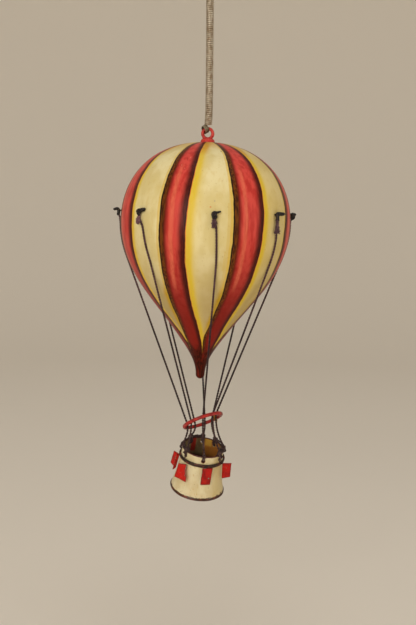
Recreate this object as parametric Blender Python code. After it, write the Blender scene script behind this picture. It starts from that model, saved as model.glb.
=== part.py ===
"""A small painted tin hot air balloon that hangs on a metal spring.

Metres, +Z up. The front is towards -Y and the right side is +X. The origin is where the
spring's top loop bears on the hook that holds it, so everything else is below it.
An azimuth is in degrees round the balloon: 0 is the front and 90 is the right side.
"""
import math

import bmesh
import bpy
from mathutils import Matrix, Vector

MM = 0.001
GAP = 0.3 * MM

# The envelope: heights are measured from the level of its thread anchors
ANCHOR_LEVEL = -132.0 * MM
CROWN_HEIGHT = 41.9 * MM
BELLY_HEIGHT = -4.8 * MM
BELLY_RADIUS = 50.3 * MM
CONE_HEIGHT = -71.8 * MM
CONE_RADIUS = 14.9 * MM
TIP_HEIGHT = -99.3 * MM
TIP_RADIUS = 2.7 * MM
ENVELOPE_LEAN = math.radians(1.25)
ENVELOPE_SHIFT = 0.5 * MM
ENVELOPE_SIDES = 48

# How far the outline's curves keep their direction at the crown, belly, cone and neck
CROWN_REACH = 32.6 * MM
ABOVE_BELLY_REACH = 25.5 * MM
BELOW_BELLY_REACH = 29.4 * MM
CONE_SLOPE = Vector((0.71, 1.0))
ABOVE_CONE_REACH = 20.5 * MM
BELOW_CONE_REACH = 6.5 * MM
NECK_REACH = 9.2 * MM

# The eye on the crown: a ring that faces the front, on a low foot
EYE_RADIUS = 2.95 * MM
EYE_WIRE = 0.95 * MM
EYE_HEIGHT = 46.9 * MM
EYE_FOOT_RADIUS = 4.2 * MM
EYE_FOOT_HEIGHT = 2.3 * MM

# The hanger: a close-wound spring with a loop at each end
SPRING_RADIUS = 2.23 * MM
SPRING_GROOVE = 1.9 * MM
SPRING_PITCH = 1.21 * MM
SPRING_TURNS = 61
SPRING_BOTTOM = 51.33 * MM
SPRING_SIDES = 10
TOP_LOOP_RADIUS = 4.1 * MM
LOOP_WIRE = 0.6 * MM
EYE_LOOP_ANGLE = math.radians(32.0)
EYE_LOOP_INSIDE = 1.5 * MM
EYE_LOOP_OUTSIDE = 2.4 * MM
EYE_LOOP_LENGTH = 2.7 * MM
SPRING_NECK_RADIUS = 0.6 * MM
SPRING_NECK_BULGE = Vector((-0.3, 0.0, 0.1)) * MM

# The load ring under the envelope, tipped up at the front and at the right
RING_CENTRE = Vector((-0.56 * MM, 0.0, ANCHOR_LEVEL - 125.2 * MM))
RING_RADIUS = 11.66 * MM
RING_WIRE = 1.02 * MM
RING_FRONT_UP = math.radians(22.9)
RING_RIGHT_UP = math.radians(22.0)
BRAZE_AZIMUTH = 134.8
BRAZE_SIZE = Vector((1.15, 0.85, 2.25)) * MM

# The basket: a flared tin cup under a straight collar
RIM_CENTRE = Vector((0.0, 0.0, ANCHOR_LEVEL - 141.6 * MM))
BASKET_FORWARD = math.radians(12.9)
BASKET_SIDEWAYS = math.radians(7.5)
RIM_RADIUS = 12.8 * MM
COLLAR_HEIGHT = 6.0 * MM
BASE_RADIUS = 16.8 * MM
BASKET_HEIGHT = 28.3 * MM
WALL_STEPS = 5
TIN = 0.6 * MM
FLOOR_INSET = 1.0 * MM
BAND_HALF_THICKNESS = 0.6 * MM
BAND_HALF_HEIGHT = 1.1 * MM
HOLE_RADIUS = 1.0 * MM
HOLE_DEPTH = 3.1 * MM
BASKET_SIDES = 40

THREAD = 0.36 * MM
THREAD_CLEARANCE = 0.9 * MM
THREAD_STEPS = 12
HOOK_WIRE = 0.9 * MM
KNOT_WIDTH = 1.3 * MM
KNOT_DEPTH = 1.1 * MM
LASHING = 0.8 * MM
LASHING_TOP = 1.5 * MM
LASHING_INSIDE = -2.6 * MM
LASHING_OUTSIDE = -3.2 * MM
PLATE_THICKNESS = 0.5 * MM
PLATE_ROUNDING = 0.6

# Each hook on the envelope: its azimuth, its knot's half height, then its arm's tip, its elbow
# and its drop's end, each as (sideways, outwards, upwards) from the envelope's surface, in mm
HOOKS = {
    "front": (5.5, 2.2, (2.5, 1.3, 1.4), (-1.3, 1.7, 0.6), (-0.4, 1.6, -2.6)),
    "right": (50.5, 3.8, (4.8, 3.0, 1.7), (-0.4, 1.6, 1.7), (0.0, 1.6, -2.2)),
    "far_right": (96.0, 1.8, (0.2, 4.4, 1.3), (0.0, 1.8, 1.2), (0.0, 1.6, -1.4)),
    "back_right": (141.0, 2.0, (2.2, 2.6, 0.8), (-0.8, 1.5, 0.4), (-0.6, 1.6, -2.4)),
    "back": (186.0, 2.4, (-2.4, 1.3, 0.9), (1.2, 1.7, 0.3), (0.8, 1.6, -2.5)),
    "back_left": (230.0, 2.8, (2.6, 1.9, 1.0), (-1.0, 1.6, 0.4), (-0.8, 1.6, -2.3)),
    "far_left": (-88.0, 1.9, (0.3, 3.9, 1.3), (0.0, 1.6, 0.7), (0.0, 1.6, -2.1)),
    "left": (-45.0, 2.0, (2.8, 1.3, 2.1), (-1.6, 1.9, 0.5), (-0.6, 1.7, -2.4)),
}

# Each thread's azimuth at its knot, at the foot of the cone, inside the load ring and at the
# basket's rim, where a lashing holds it
THREADS = {
    "front": (6.9, 11.5, 9.7, 4.0),
    "right": (52.3, 54.2, 49.7, 55.0),
    "far_right": (96.4, 107.4, 69.0, 97.0),
    "back_right": (141.0, 143.4, 148.2, 145.0),
    "back": (187.0, 184.0, 180.0, 183.0),
    "back_left": (-130.0, -150.6, -142.2, -138.0),
    "far_left": (-92.9, -95.8, -92.4, -84.0),
    "left": (-42.8, -33.8, -39.8, -50.0),
}

# Each red plate under the band: its azimuth, its turn away from lying flat on the basket and
# its flare away from the wall, in degrees, then its two upper and its two lower corners from
# left to right, each as (sideways, downwards) from the band's foot, in millimetres
PLATES = {
    "front": (18.2, 0.0, 3.0, (-3.3, 0.0), (3.1, 0.0), (-3.8, 10.3), (2.3, 10.3)),
    "right": (68.0, 88.0, 0.0, (0.2, 0.0), (6.0, -2.0), (0.2, 10.2), (5.6, 7.4)),
    "back_right": (145.0, 10.0, 6.0, (-2.8, 0.2), (3.1, 0.0), (-3.4, 10.6), (3.2, 9.8)),
    "back_left": (-155.0, -12.0, 5.0, (-3.2, 0.0), (2.9, 0.3), (-3.0, 10.0), (3.5, 10.6)),
    "far_left": (-92.0, -52.0, -1.0, (-4.2, 0.2), (2.1, 0.0), (-4.2, 9.0), (2.1, 10.9)),
    "left": (-46.0, 8.0, 8.0, (-4.1, 2.2), (1.8, 0.0), (-3.7, 10.6), (6.1, 9.5)),
}

# Paint and metal: base colour, roughness and metallic value
FINISHES = {
    "cream_paint": ((0.73, 0.60, 0.33), 0.35, 0.0),
    "red_paint": ((0.62, 0.06, 0.05), 0.35, 0.0),
    "spring_wire": ((0.40, 0.34, 0.26), 0.40, 1.0),
    "black_wire": ((0.02, 0.016, 0.013), 0.50, 0.0),
    "thread": ((0.06, 0.03, 0.04), 0.90, 0.0),
    "brown_band": ((0.06, 0.03, 0.015), 0.55, 0.0),
    "brass": ((0.60, 0.38, 0.08), 0.40, 1.0),
}


def finish(name):
    """The named material, made once."""
    found = bpy.data.materials.get(name)
    if found:
        return found
    colour, roughness, metallic = FINISHES[name]
    material = bpy.data.materials.new(name)
    material.use_nodes = True
    shader = material.node_tree.nodes["Principled BSDF"]
    shader.inputs["Base Color"].default_value = (*colour, 1.0)
    shader.inputs["Roughness"].default_value = roughness
    shader.inputs["Metallic"].default_value = metallic
    return material


def add_object(name, data, material, frame=None):
    """A new object in the scene, placed by its frame."""
    made = bpy.data.objects.new(name, data)
    bpy.context.collection.objects.link(made)
    made.matrix_world = frame if frame else Matrix.Identity(4)
    data.materials.append(finish(material))
    return made


def mesh_from(name, mesh_tool):
    """A smooth-shaded mesh from a bmesh, with its faces pointing out."""
    bmesh.ops.recalc_face_normals(mesh_tool, faces=mesh_tool.faces)
    mesh = bpy.data.meshes.new(name)
    mesh_tool.to_mesh(mesh)
    mesh_tool.free()
    mesh.shade_smooth()
    mesh.set_sharp_from_angle(angle=math.radians(40.0))
    return mesh


def turned(name, outline, sides):
    """A solid turned round the Z axis from (radius, height) points."""
    tool = bmesh.new()
    points = [tool.verts.new((radius, 0.0, height)) for radius, height in outline]
    pairs = list(zip(points, points[1:]))
    if outline[0][0] > 0.0:
        pairs.append((points[-1], points[0]))
    edges = [tool.edges.new(pair) for pair in pairs]
    bmesh.ops.spin(tool, geom=points + edges, cent=(0, 0, 0), axis=(0, 0, 1),
                   angle=math.tau, steps=sides, use_merge=True)
    bmesh.ops.remove_doubles(tool, verts=tool.verts, dist=1e-7)
    return mesh_from(name, tool)


def tube(name, route, radius, material, resolution=2):
    """A round wire or thread along a route of points, with closed ends."""
    curve = bpy.data.curves.new(name, "CURVE")
    curve.dimensions = "3D"
    curve.bevel_depth = radius
    curve.bevel_resolution = resolution
    curve.use_fill_caps = True
    spline = curve.splines.new("POLY")
    spline.points.add(len(route) - 1)
    for point, place in zip(spline.points, route):
        point.co = (*place, 1.0)
    return add_object(name, curve, material)


def smooth_route(points, steps):
    """Points on a smooth curve through the given ones (Catmull-Rom)."""
    ends = [points[0] * 2 - points[1], *points, points[-1] * 2 - points[-2]]
    route = []
    for before, start, stop, after in zip(ends, ends[1:], ends[2:], ends[3:]):
        for step in range(steps):
            t = step / steps
            route.append(0.5 * (2 * start + (stop - before) * t
                                + (2 * before - 5 * start + 4 * stop - after) * t ** 2
                                + (3 * start - before - 3 * stop + after) * t ** 3))
    return route + [points[-1]]


def bezier(start, leave, arrive, stop, steps):
    """Points on one cubic curve, without its last point."""
    places = []
    for step in range(steps):
        t = step / steps
        u = 1.0 - t
        places.append(tuple(u ** 3 * a + 3 * u * u * t * b + 3 * u * t * t * c + t ** 3 * d
                            for a, b, c, d in zip(start, leave, arrive, stop)))
    return places


def around(azimuth, radius, height):
    """A point at an azimuth round the Z axis."""
    angle = math.radians(azimuth)
    return Vector((radius * math.sin(angle), -radius * math.cos(angle), height))


def sideways_at(azimuth):
    """The direction along the surface, to the right, at an azimuth."""
    return around(azimuth + 90.0, 1.0, 0.0)


def lump(name, size, frame, material):
    """A small egg-shaped solid of the given half sizes."""
    tool = bmesh.new()
    bmesh.ops.create_uvsphere(tool, u_segments=8, v_segments=6, radius=1.0)
    bmesh.ops.transform(tool, matrix=Matrix.Diagonal((*size, 1.0)), verts=tool.verts)
    add_object(name, mesh_from(name, tool), material, frame)


def as_mesh(curve_object):
    """A mesh object in place of a tube, with its end caps welded on."""
    name = curve_object.name
    material = curve_object.data.materials[0].name
    shape = bpy.data.meshes.new_from_object(
        curve_object.evaluated_get(bpy.context.evaluated_depsgraph_get()))
    bpy.data.objects.remove(curve_object)
    tool = bmesh.new()
    tool.from_mesh(shape)
    bmesh.ops.remove_doubles(tool, verts=tool.verts, dist=1e-6)
    return add_object(name, mesh_from(name, tool), material)


def join(target, others):
    """Unite the other objects with the target, then remove them."""
    for other in others:
        cut = target.modifiers.new("join", "BOOLEAN")
        cut.operation = "UNION"
        cut.object = other
    shape = bpy.data.meshes.new_from_object(
        target.evaluated_get(bpy.context.evaluated_depsgraph_get()))
    target.modifiers.clear()
    target.data = shape
    for other in others:
        bpy.data.objects.remove(other)


def envelope_outline():
    """The envelope's outline from the crown to the tip, as (radius, height)."""
    crown = (0.0, CROWN_HEIGHT)
    belly = (BELLY_RADIUS, BELLY_HEIGHT)
    cone = (CONE_RADIUS, CONE_HEIGHT)
    neck = (TIP_RADIUS, TIP_HEIGHT + TIP_RADIUS)
    outline = bezier(crown, (CROWN_REACH, CROWN_HEIGHT),
                     (BELLY_RADIUS, BELLY_HEIGHT + ABOVE_BELLY_REACH), belly, 11)
    outline += bezier(belly, (BELLY_RADIUS, BELLY_HEIGHT - BELOW_BELLY_REACH),
                      Vector(cone) + CONE_SLOPE * ABOVE_CONE_REACH, cone, 11)
    outline += bezier(cone, Vector(cone) - CONE_SLOPE * BELOW_CONE_REACH,
                      (neck[0], neck[1] + NECK_REACH), neck, 5)
    for step in range(4):
        angle = math.radians(90.0 * step / 4)
        outline.append((TIP_RADIUS * math.cos(angle), neck[1] - TIP_RADIUS * math.sin(angle)))
    outline.append((0.0, TIP_HEIGHT))
    return outline


def envelope_frame():
    """The envelope leans a little, about its crown."""
    crown = Matrix.Translation((ENVELOPE_SHIFT, 0.0, ANCHOR_LEVEL + CROWN_HEIGHT))
    lean = Matrix.Rotation(ENVELOPE_LEAN, 4, "Y")
    return crown @ lean @ Matrix.Translation((0.0, 0.0, -CROWN_HEIGHT))


def radius_at(outline, height):
    """The envelope's radius at a height."""
    for (upper_radius, upper), (lower_radius, lower) in zip(outline, outline[1:]):
        if lower <= height <= upper:
            share = (upper - height) / (upper - lower)
            return upper_radius + share * (lower_radius - upper_radius)
    return 0.0


def make_envelope():
    mesh = turned("envelope", envelope_outline(), ENVELOPE_SIDES)
    add_object("envelope", mesh, "cream_paint", envelope_frame())


def ring_mesh(name, radius, wire, sides, wire_sides, half_height=None):
    """A wire ring about the Z axis, round in section unless a half height is given."""
    half_height = half_height or wire
    outline = []
    for step in range(wire_sides):
        angle = math.tau * step / wire_sides
        outline.append((radius + wire * math.cos(angle), half_height * math.sin(angle)))
    return turned(name, outline, sides)


def make_crown_eye():
    upright = Matrix.Rotation(math.radians(90.0), 4, "X")
    place = Matrix.Translation((0.0, 0.0, ANCHOR_LEVEL + EYE_HEIGHT))
    eye = add_object("crown_eye", ring_mesh("crown_eye", EYE_RADIUS, EYE_WIRE, 32, 10), "red_paint",
                     place @ upright)
    base = CROWN_HEIGHT + GAP
    outline = []
    for step in range(4):
        angle = math.radians(30.0 * (3 - step))
        outline.append((EYE_FOOT_RADIUS * math.cos(angle), base + EYE_FOOT_HEIGHT * math.sin(angle)))
    outline.append((0.0, base))
    foot = add_object("foot", turned("foot", outline, 24), "red_paint",
                      Matrix.Translation((0.0, 0.0, ANCHOR_LEVEL)))
    join(eye, [foot])


def make_hanger():
    """The spring's coils as ridges, with the loop that hangs on a hook and the loop in the eye."""
    length = SPRING_TURNS * SPRING_PITCH
    outline = [(0.0, length)]
    for turn in range(SPRING_TURNS, 0, -1):
        outline.append((SPRING_RADIUS, (turn - 0.3) * SPRING_PITCH))
        outline.append((SPRING_RADIUS, (turn - 0.7) * SPRING_PITCH))
        if turn > 1:
            outline.append((SPRING_GROOVE, (turn - 1.0) * SPRING_PITCH))
    outline.append((0.0, 0.0))
    bottom = ANCHOR_LEVEL + SPRING_BOTTOM
    spring = add_object("hanger_spring", turned("hanger_spring", outline, SPRING_SIDES), "spring_wire",
                        Matrix.Translation((0.0, 0.0, bottom)))

    upright = Matrix.Rotation(math.radians(90.0), 4, "X")
    top_centre = Matrix.Translation((0.0, 0.0, LOOP_WIRE - TOP_LOOP_RADIUS))
    top_loop = add_object("top_loop", ring_mesh("top_loop", TOP_LOOP_RADIUS, LOOP_WIRE, 32, 8),
                          "spring_wire", top_centre @ upright)

    held = eye_loop_centre()
    along = Matrix.Rotation(math.radians(90.0) - EYE_LOOP_ANGLE, 4, "Y")
    half = EYE_LOOP_LENGTH / 2
    sleeve = [(EYE_LOOP_INSIDE, half), (EYE_LOOP_OUTSIDE, half), (EYE_LOOP_OUTSIDE, -half),
              (EYE_LOOP_INSIDE, -half)]
    eye_loop = add_object("eye_loop", turned("eye_loop", sleeve, 20), "spring_wire",
                          Matrix.Translation(held) @ along)

    leave = Vector((SPRING_NECK_RADIUS - SPRING_GROOVE, 0.0, bottom + 1.5 * SPRING_PITCH))
    loop_wall = (EYE_LOOP_INSIDE + EYE_LOOP_OUTSIDE) / 2
    arrive = held + Vector((-math.sin(EYE_LOOP_ANGLE), 0.0, math.cos(EYE_LOOP_ANGLE))) * loop_wall
    bend = leave.lerp(arrive, 0.5) + SPRING_NECK_BULGE
    neck = as_mesh(tube("neck", smooth_route([leave, bend, arrive], 3), SPRING_NECK_RADIUS, "spring_wire"))
    join(spring, [top_loop, eye_loop, neck])


def eye_loop_centre():
    """Where the spring's lower loop goes round the eye's wire."""
    angle = math.radians(90.0) + EYE_LOOP_ANGLE
    return Vector((EYE_RADIUS * math.cos(angle), 0.0,
                   ANCHOR_LEVEL + EYE_HEIGHT + EYE_RADIUS * math.sin(angle)))


def hook_place(outline, azimuth, offset):
    """A point near a hook, given as (sideways, outwards, upwards) in metres."""
    sideways, outwards, upwards = offset
    surface = radius_at(outline, upwards)
    drop = sideways ** 2 / (2.0 * surface)
    place = around(azimuth, surface + outwards - drop, upwards) + sideways_at(azimuth) * sideways
    return envelope_frame() @ place


def knot_middle(name):
    """The middle of a hook's knot, as (sideways, outwards, upwards) in metres."""
    azimuth, half_height, tip, elbow, drop = HOOKS[name]
    return Vector((drop[0] * MM, KNOT_DEPTH + 2 * GAP, (drop[2] - half_height) * MM - GAP))


def make_hooks():
    """A bent black wire hook, with a thread knot below it, in the middle of each yellow gore."""
    outline = envelope_outline()
    for name, (azimuth, half_height, *offsets) in HOOKS.items():
        route = [hook_place(outline, azimuth, Vector(offset) * MM) for offset in offsets]
        tube("hook_" + name, smooth_route(route, 4), HOOK_WIRE, "black_wire")
        place = Matrix.Translation(hook_place(outline, azimuth, knot_middle(name)))
        turn = Matrix.Rotation(math.radians(azimuth), 4, "Z")
        lump("knot_" + name, (KNOT_WIDTH, KNOT_DEPTH, half_height * MM), place @ turn, "thread")


def ring_frame():
    tip = Matrix.Rotation(-RING_RIGHT_UP, 4, "Y") @ Matrix.Rotation(-RING_FRONT_UP, 4, "X")
    return Matrix.Translation(RING_CENTRE) @ tip


def make_load_ring():
    """The red wire ring, and the brass that closes it, inside it."""
    ring = ring_mesh("load_ring", RING_RADIUS, RING_WIRE, 40, 8)
    add_object("load_ring", ring, "red_paint", ring_frame())
    inside = around(BRAZE_AZIMUTH, RING_RADIUS - RING_WIRE - GAP - BRAZE_SIZE.y, 0.0)
    turn = Matrix.Rotation(math.radians(BRAZE_AZIMUTH), 4, "Z")
    lump("ring_braze", BRAZE_SIZE, ring_frame() @ Matrix.Translation(inside) @ turn, "brass")


def basket_frame():
    tip = Matrix.Rotation(BASKET_SIDEWAYS, 4, "Y") @ Matrix.Rotation(BASKET_FORWARD, 4, "X")
    return Matrix.Translation(RIM_CENTRE) @ tip


def basket_wall():
    """The basket's outer wall from the rim to the base, as (radius, height) under the rim."""
    wall = [(RIM_RADIUS, 0.0)]
    for step in range(WALL_STEPS + 1):
        share = step / WALL_STEPS
        flare = 0.65 * share + 0.35 * share ** 4
        wall.append((RIM_RADIUS + (BASE_RADIUS - RIM_RADIUS) * flare,
                     -COLLAR_HEIGHT - (BASKET_HEIGHT - COLLAR_HEIGHT) * share))
    return wall


def make_basket():
    wall = basket_wall()
    floor = -BASKET_HEIGHT + FLOOR_INSET
    inner_base = BASE_RADIUS - TIN
    inside = [(radius - TIN, height) for radius, height in reversed(wall[:-1])]
    under = [(inner_base, -BASKET_HEIGHT), (inner_base - GAP, floor), (0.0, floor)]
    top = [(0.0, floor + TIN), (inner_base - 2 * GAP, floor + TIN)]
    cup_mesh = turned("basket_cup", top + inside + wall + under, BASKET_SIDES)
    cup = add_object("basket_cup", cup_mesh, "cream_paint", basket_frame())
    for name, azimuths in THREADS.items():
        drill_thread_hole(cup, "hole_" + name, azimuths[-1])
    band_radius = RIM_RADIUS + BAND_HALF_THICKNESS + 2 * GAP
    band_frame = basket_frame() @ Matrix.Translation((0.0, 0.0, -COLLAR_HEIGHT))
    band = ring_mesh("basket_band", band_radius, BAND_HALF_THICKNESS, BASKET_SIDES, 8, BAND_HALF_HEIGHT)
    add_object("basket_band", band, "brown_band", band_frame)


def drill_thread_hole(cup, name, azimuth):
    """A round hole through the collar."""
    tool = bmesh.new()
    bmesh.ops.create_cone(tool, cap_ends=True, segments=12, radius1=HOLE_RADIUS, radius2=HOLE_RADIUS,
                          depth=6 * TIN)
    turn = Matrix.Rotation(math.radians(azimuth), 4, "Z")
    lie = Matrix.Rotation(math.radians(90.0), 4, "X")
    place = Matrix.Translation(around(azimuth, RIM_RADIUS, -HOLE_DEPTH))
    drill = add_object(name, mesh_from(name, tool), "cream_paint", basket_frame() @ place @ turn @ lie)
    drill.hide_render = True
    drill.display_type = "WIRE"
    cut = cup.modifiers.new(name, "BOOLEAN")
    cut.operation = "DIFFERENCE"
    cut.object = drill


def wall_radius(depth):
    """The basket's outer radius at a depth under the rim."""
    wall = basket_wall()
    for (upper_radius, upper), (lower_radius, lower) in zip(wall, wall[1:]):
        if lower <= -depth <= upper:
            share = (upper + depth) / (upper - lower)
            return upper_radius + share * (lower_radius - upper_radius)
    return BASE_RADIUS


def make_plates():
    """Thin red plates that hang under the band, each bent its own way."""
    top = COLLAR_HEIGHT + BAND_HALF_HEIGHT + GAP
    for name, (azimuth, turn, flare, *cut) in PLATES.items():
        upper_left, upper_right, lower_left, lower_right = (Vector(corner) * MM for corner in cut)
        tool = bmesh.new()
        rows = []
        for step in range(4):
            left_edge = upper_left.lerp(lower_left, step / 3)
            right_edge = upper_right.lerp(lower_right, step / 3)
            corners = []
            for across in (0.0, 0.5, 1.0):
                sideways, down = left_edge.lerp(right_edge, across)
                stand_off = wall_radius(top + down) + GAP + PLATE_THICKNESS
                out = stand_off + math.tan(math.radians(flare)) * down
                lift = abs(sideways * math.sin(math.radians(turn)))
                flat = sideways * math.cos(math.radians(turn))
                sag = (out - math.sqrt(out ** 2 - flat ** 2)) * PLATE_ROUNDING
                place = around(azimuth, out + lift - sag, -top - down) + sideways_at(azimuth) * flat
                corners.append(tool.verts.new(place))
            rows.append(corners)
        for upper, lower in zip(rows, rows[1:]):
            for left in range(2):
                tool.faces.new((upper[left], upper[left + 1], lower[left + 1], lower[left]))
        bmesh.ops.recalc_face_normals(tool, faces=tool.faces)
        mesh = bpy.data.meshes.new("plate_" + name)
        tool.to_mesh(mesh)
        tool.free()
        plate = add_object("plate_" + name, mesh, "red_paint", basket_frame())
        thicken = plate.modifiers.new("tin", "SOLIDIFY")
        thicken.thickness = PLATE_THICKNESS
        thicken.offset = 0.0


def make_lashings():
    """Thread wound over the rim and into each hole."""
    inner = RIM_RADIUS - TIN - GAP - LASHING
    outer = RIM_RADIUS + GAP + LASHING
    shoulder = -TIN / 3
    shape = ((inner, LASHING_INSIDE), (inner, shoulder), ((inner + outer) / 2, LASHING_TOP),
             (outer, shoulder), (outer, LASHING_OUTSIDE))
    for name, azimuths in THREADS.items():
        route = [basket_frame() @ around(azimuths[-1], radius, height) for radius, height in shape]
        tube("lashing_" + name, smooth_route(route, 4), LASHING, "thread")


def taut(points, stop):
    """The stretch of the points that a thread pulled tight from the first to the stop touches."""
    route = [points[0]]
    rest = points[1:] + [stop]
    while route[-1] is not stop:
        here = route[-1]
        steepest = max(range(len(rest)),
                       key=lambda index: (rest[index][0] - here[0]) / (here[1] - rest[index][1]))
        route.append(rest[steepest])
        rest = rest[steepest + 1:]
    return route


def make_threads():
    """Threads pulled tight from the knots, through the load ring, to the lashings on the rim."""
    outline = envelope_outline()
    inside = RING_RADIUS - RING_WIRE - 3 * GAP - 2 * THREAD
    above_lashing = LASHING_TOP + LASHING + GAP + 2 * THREAD
    for name, (top_azimuth, cone_azimuth, ring_azimuth, rim_azimuth) in THREADS.items():
        first = knot_middle(name).z - HOOKS[name][1] * MM - GAP - THREAD
        near = []
        for step in range(THREAD_STEPS + 1):
            height = first + (CONE_HEIGHT - first) * step / THREAD_STEPS
            near.append((radius_at(outline, height) + THREAD_CLEARANCE, height))
        in_ring = ring_frame() @ around(ring_azimuth, inside, 0.0)
        local = envelope_frame().inverted() @ in_ring
        stop = (Vector(local[:2]).length, local.z)
        route = []
        for radius, height in taut(near, stop)[:-1]:
            fade = (height - CONE_HEIGHT) / (first - CONE_HEIGHT)
            azimuth = cone_azimuth + (top_azimuth - cone_azimuth) * fade
            route.append(envelope_frame() @ around(azimuth, radius, height))
        last = route[-1]
        end = basket_frame() @ around(rim_azimuth, RIM_RADIUS - TIN / 2, above_lashing)
        route += [last.lerp(in_ring, share) for share in (0.34, 0.67)]
        route += [in_ring, in_ring.lerp(end, 0.5), end]
        tube("thread_" + name, route, THREAD, "thread")


def main():
    for leftover in list(bpy.data.objects):
        bpy.data.objects.remove(leftover)
    make_hanger()
    make_crown_eye()
    make_envelope()
    make_hooks()
    make_threads()
    make_load_ring()
    make_basket()
    make_plates()
    make_lashings()


main()
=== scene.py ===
"""The looks of a small painted tin hot air balloon that hangs on a metal spring.

Metres, +Z up. The front is towards -Y and the right side is +X. Sizes and places repeat those of
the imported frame. An azimuth is in degrees round the balloon: 0 is the front, 90 the right side.
"""
import math

import bmesh
import bpy
import numpy as np
from mathutils import Matrix, Vector, noise


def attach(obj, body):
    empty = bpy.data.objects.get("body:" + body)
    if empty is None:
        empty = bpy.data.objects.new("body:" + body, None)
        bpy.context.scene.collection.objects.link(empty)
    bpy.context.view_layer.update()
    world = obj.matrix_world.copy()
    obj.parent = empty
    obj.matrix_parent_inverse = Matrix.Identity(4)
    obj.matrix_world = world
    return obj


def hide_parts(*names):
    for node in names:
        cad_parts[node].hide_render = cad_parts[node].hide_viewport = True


# Without a seed the vector noise differs from run to run
NOISE_SEED = 5
noise.seed_set(NOISE_SEED)

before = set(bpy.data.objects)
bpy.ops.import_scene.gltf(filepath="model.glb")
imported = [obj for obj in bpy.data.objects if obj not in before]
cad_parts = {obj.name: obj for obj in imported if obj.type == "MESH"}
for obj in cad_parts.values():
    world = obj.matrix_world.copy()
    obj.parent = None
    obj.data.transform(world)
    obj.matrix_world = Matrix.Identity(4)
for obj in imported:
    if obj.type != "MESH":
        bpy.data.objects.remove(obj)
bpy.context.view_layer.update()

MM = 0.001
GAP = 0.3 * MM

# The bends of a wire's rounded ends
CAP_BENDS = np.radians((89.0, 65.0, 35.0))

# The envelope's outline, with heights from the level of its thread anchors
ANCHOR_LEVEL = -132.0 * MM
CROWN_HEIGHT = 41.9 * MM
BELLY_HEIGHT = -4.8 * MM
BELLY_RADIUS = 50.3 * MM
CONE_HEIGHT = -71.8 * MM
CONE_RADIUS = 14.9 * MM
TIP_HEIGHT = -99.3 * MM
TIP_RADIUS = 2.7 * MM
ENVELOPE_LEAN = math.radians(1.25)
ENVELOPE_SHIFT = 0.5 * MM
CROWN_REACH = 32.6 * MM
ABOVE_BELLY_REACH = 25.5 * MM
BELOW_BELLY_REACH = 29.4 * MM
CONE_SLOPE = Vector((0.71, 1.0))
ABOVE_CONE_REACH = 20.5 * MM
BELOW_CONE_REACH = 6.5 * MM
NECK_REACH = 9.2 * MM

# The eye, and the spring with its two loops
EYE_RADIUS = 2.95 * MM
EYE_WIRE = 0.95 * MM
EYE_HEIGHT = 46.9 * MM
EYE_FOOT_RADIUS = 4.2 * MM
EYE_FOOT_HEIGHT = 2.3 * MM
EYE_STEPS = 56
EYE_FOOT = ((1.0, 0.0), (0.985, 0.3), (0.9, 0.62), (0.72, 0.9), (0.5, 1.0), (0.3, 1.12), (0.0, 1.15))
COIL_RADIUS = 1.72 * MM
SPRING_WIRE = 0.6 * MM
SPRING_PITCH = 1.21 * MM
SPRING_TURNS = 61
COIL_STEPS = 22
SPRING_BOTTOM = 51.33 * MM
TOP_LOOP_RADIUS = 4.1 * MM
TOP_LOOP_START = -82.0
TOP_LOOP_SWEEP = 330.0
TOP_LOOP_STEPS = 44
TOP_LOOP_LEAN = 0.25 * MM
EYE_LOOP_ANGLE = math.radians(32.0)
EYE_LOOP_RADIUS = 2.1 * MM
EYE_LOOP_WIRE = 0.45 * MM
EYE_LOOP_TURNS = 2.6
EYE_LOOP_SPREAD = 2.3 * MM
EYE_LOOP_TURN = math.radians(26.0)
EYE_LOOP_STEPS = 24
EYE_LOOP_NECK = 2.4 * MM
SPRING_BOW = 0.6 * MM
SPRING_BEND = 4.0 * MM

# The load ring
RING_CENTRE = Vector((-0.56 * MM, 0.0, ANCHOR_LEVEL - 125.2 * MM))
RING_RADIUS = 11.66 * MM
RING_WIRE = 1.02 * MM
RING_FRONT_UP = math.radians(22.9)
RING_RIGHT_UP = math.radians(22.0)
RING_STEPS = 120
RING_ENDS_THICKER = 0.24
RING_SWELL = 0.16 * MM
RING_WARP = 0.12 * MM
BRAZE_AZIMUTH = 134.8
BRAZE_SIZE = Vector((1.15, 0.85, 2.25)) * MM

# The basket
RIM_CENTRE = Vector((0.0, 0.0, ANCHOR_LEVEL - 141.6 * MM))
BASKET_FORWARD = math.radians(12.9)
BASKET_SIDEWAYS = math.radians(7.5)
RIM_RADIUS = 12.8 * MM
COLLAR_HEIGHT = 6.0 * MM
BASE_RADIUS = 16.8 * MM
BASKET_HEIGHT = 28.3 * MM
TIN = 0.6 * MM
FLOOR_INSET = 1.0 * MM
BAND_HALF_THICKNESS = 0.6 * MM
BAND_HALF_HEIGHT = 1.1 * MM
HOLE_RADIUS = 1.0 * MM
HOLE_DEPTH = 3.1 * MM
HEM_RADIUS = 0.55 * MM
BASKET_SIDES = 144
BASKET_DENT = 0.22 * MM
BASKET_DENT_SIZE = 7.0 * MM
PLATE_THICKNESS = 0.5 * MM
PLATE_ROUNDING = 0.6
PLATE_CURL = 0.28 * MM
PLATE_BUCKLE = 0.16 * MM
PLATE_BUCKLE_SIZE = 3.2 * MM
PLATE_BEVEL = 0.16 * MM

# In mm, for the worked edges: about how far down a plate hangs
PLATE_LENGTH = 10.0

THREAD = 0.64 * MM
THREAD_CLEARANCE = 0.72 * MM
THREAD_STEPS = 24
THREAD_HANG = 2.2
WINDING_STEPS = 16
THREAD_EASING = 4

# Heights from the rim, in mm
LASHING_TOP = 1.5
LASHING_INSIDE = -2.6
HOLE_HEIGHT = -HOLE_DEPTH / MM

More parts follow.
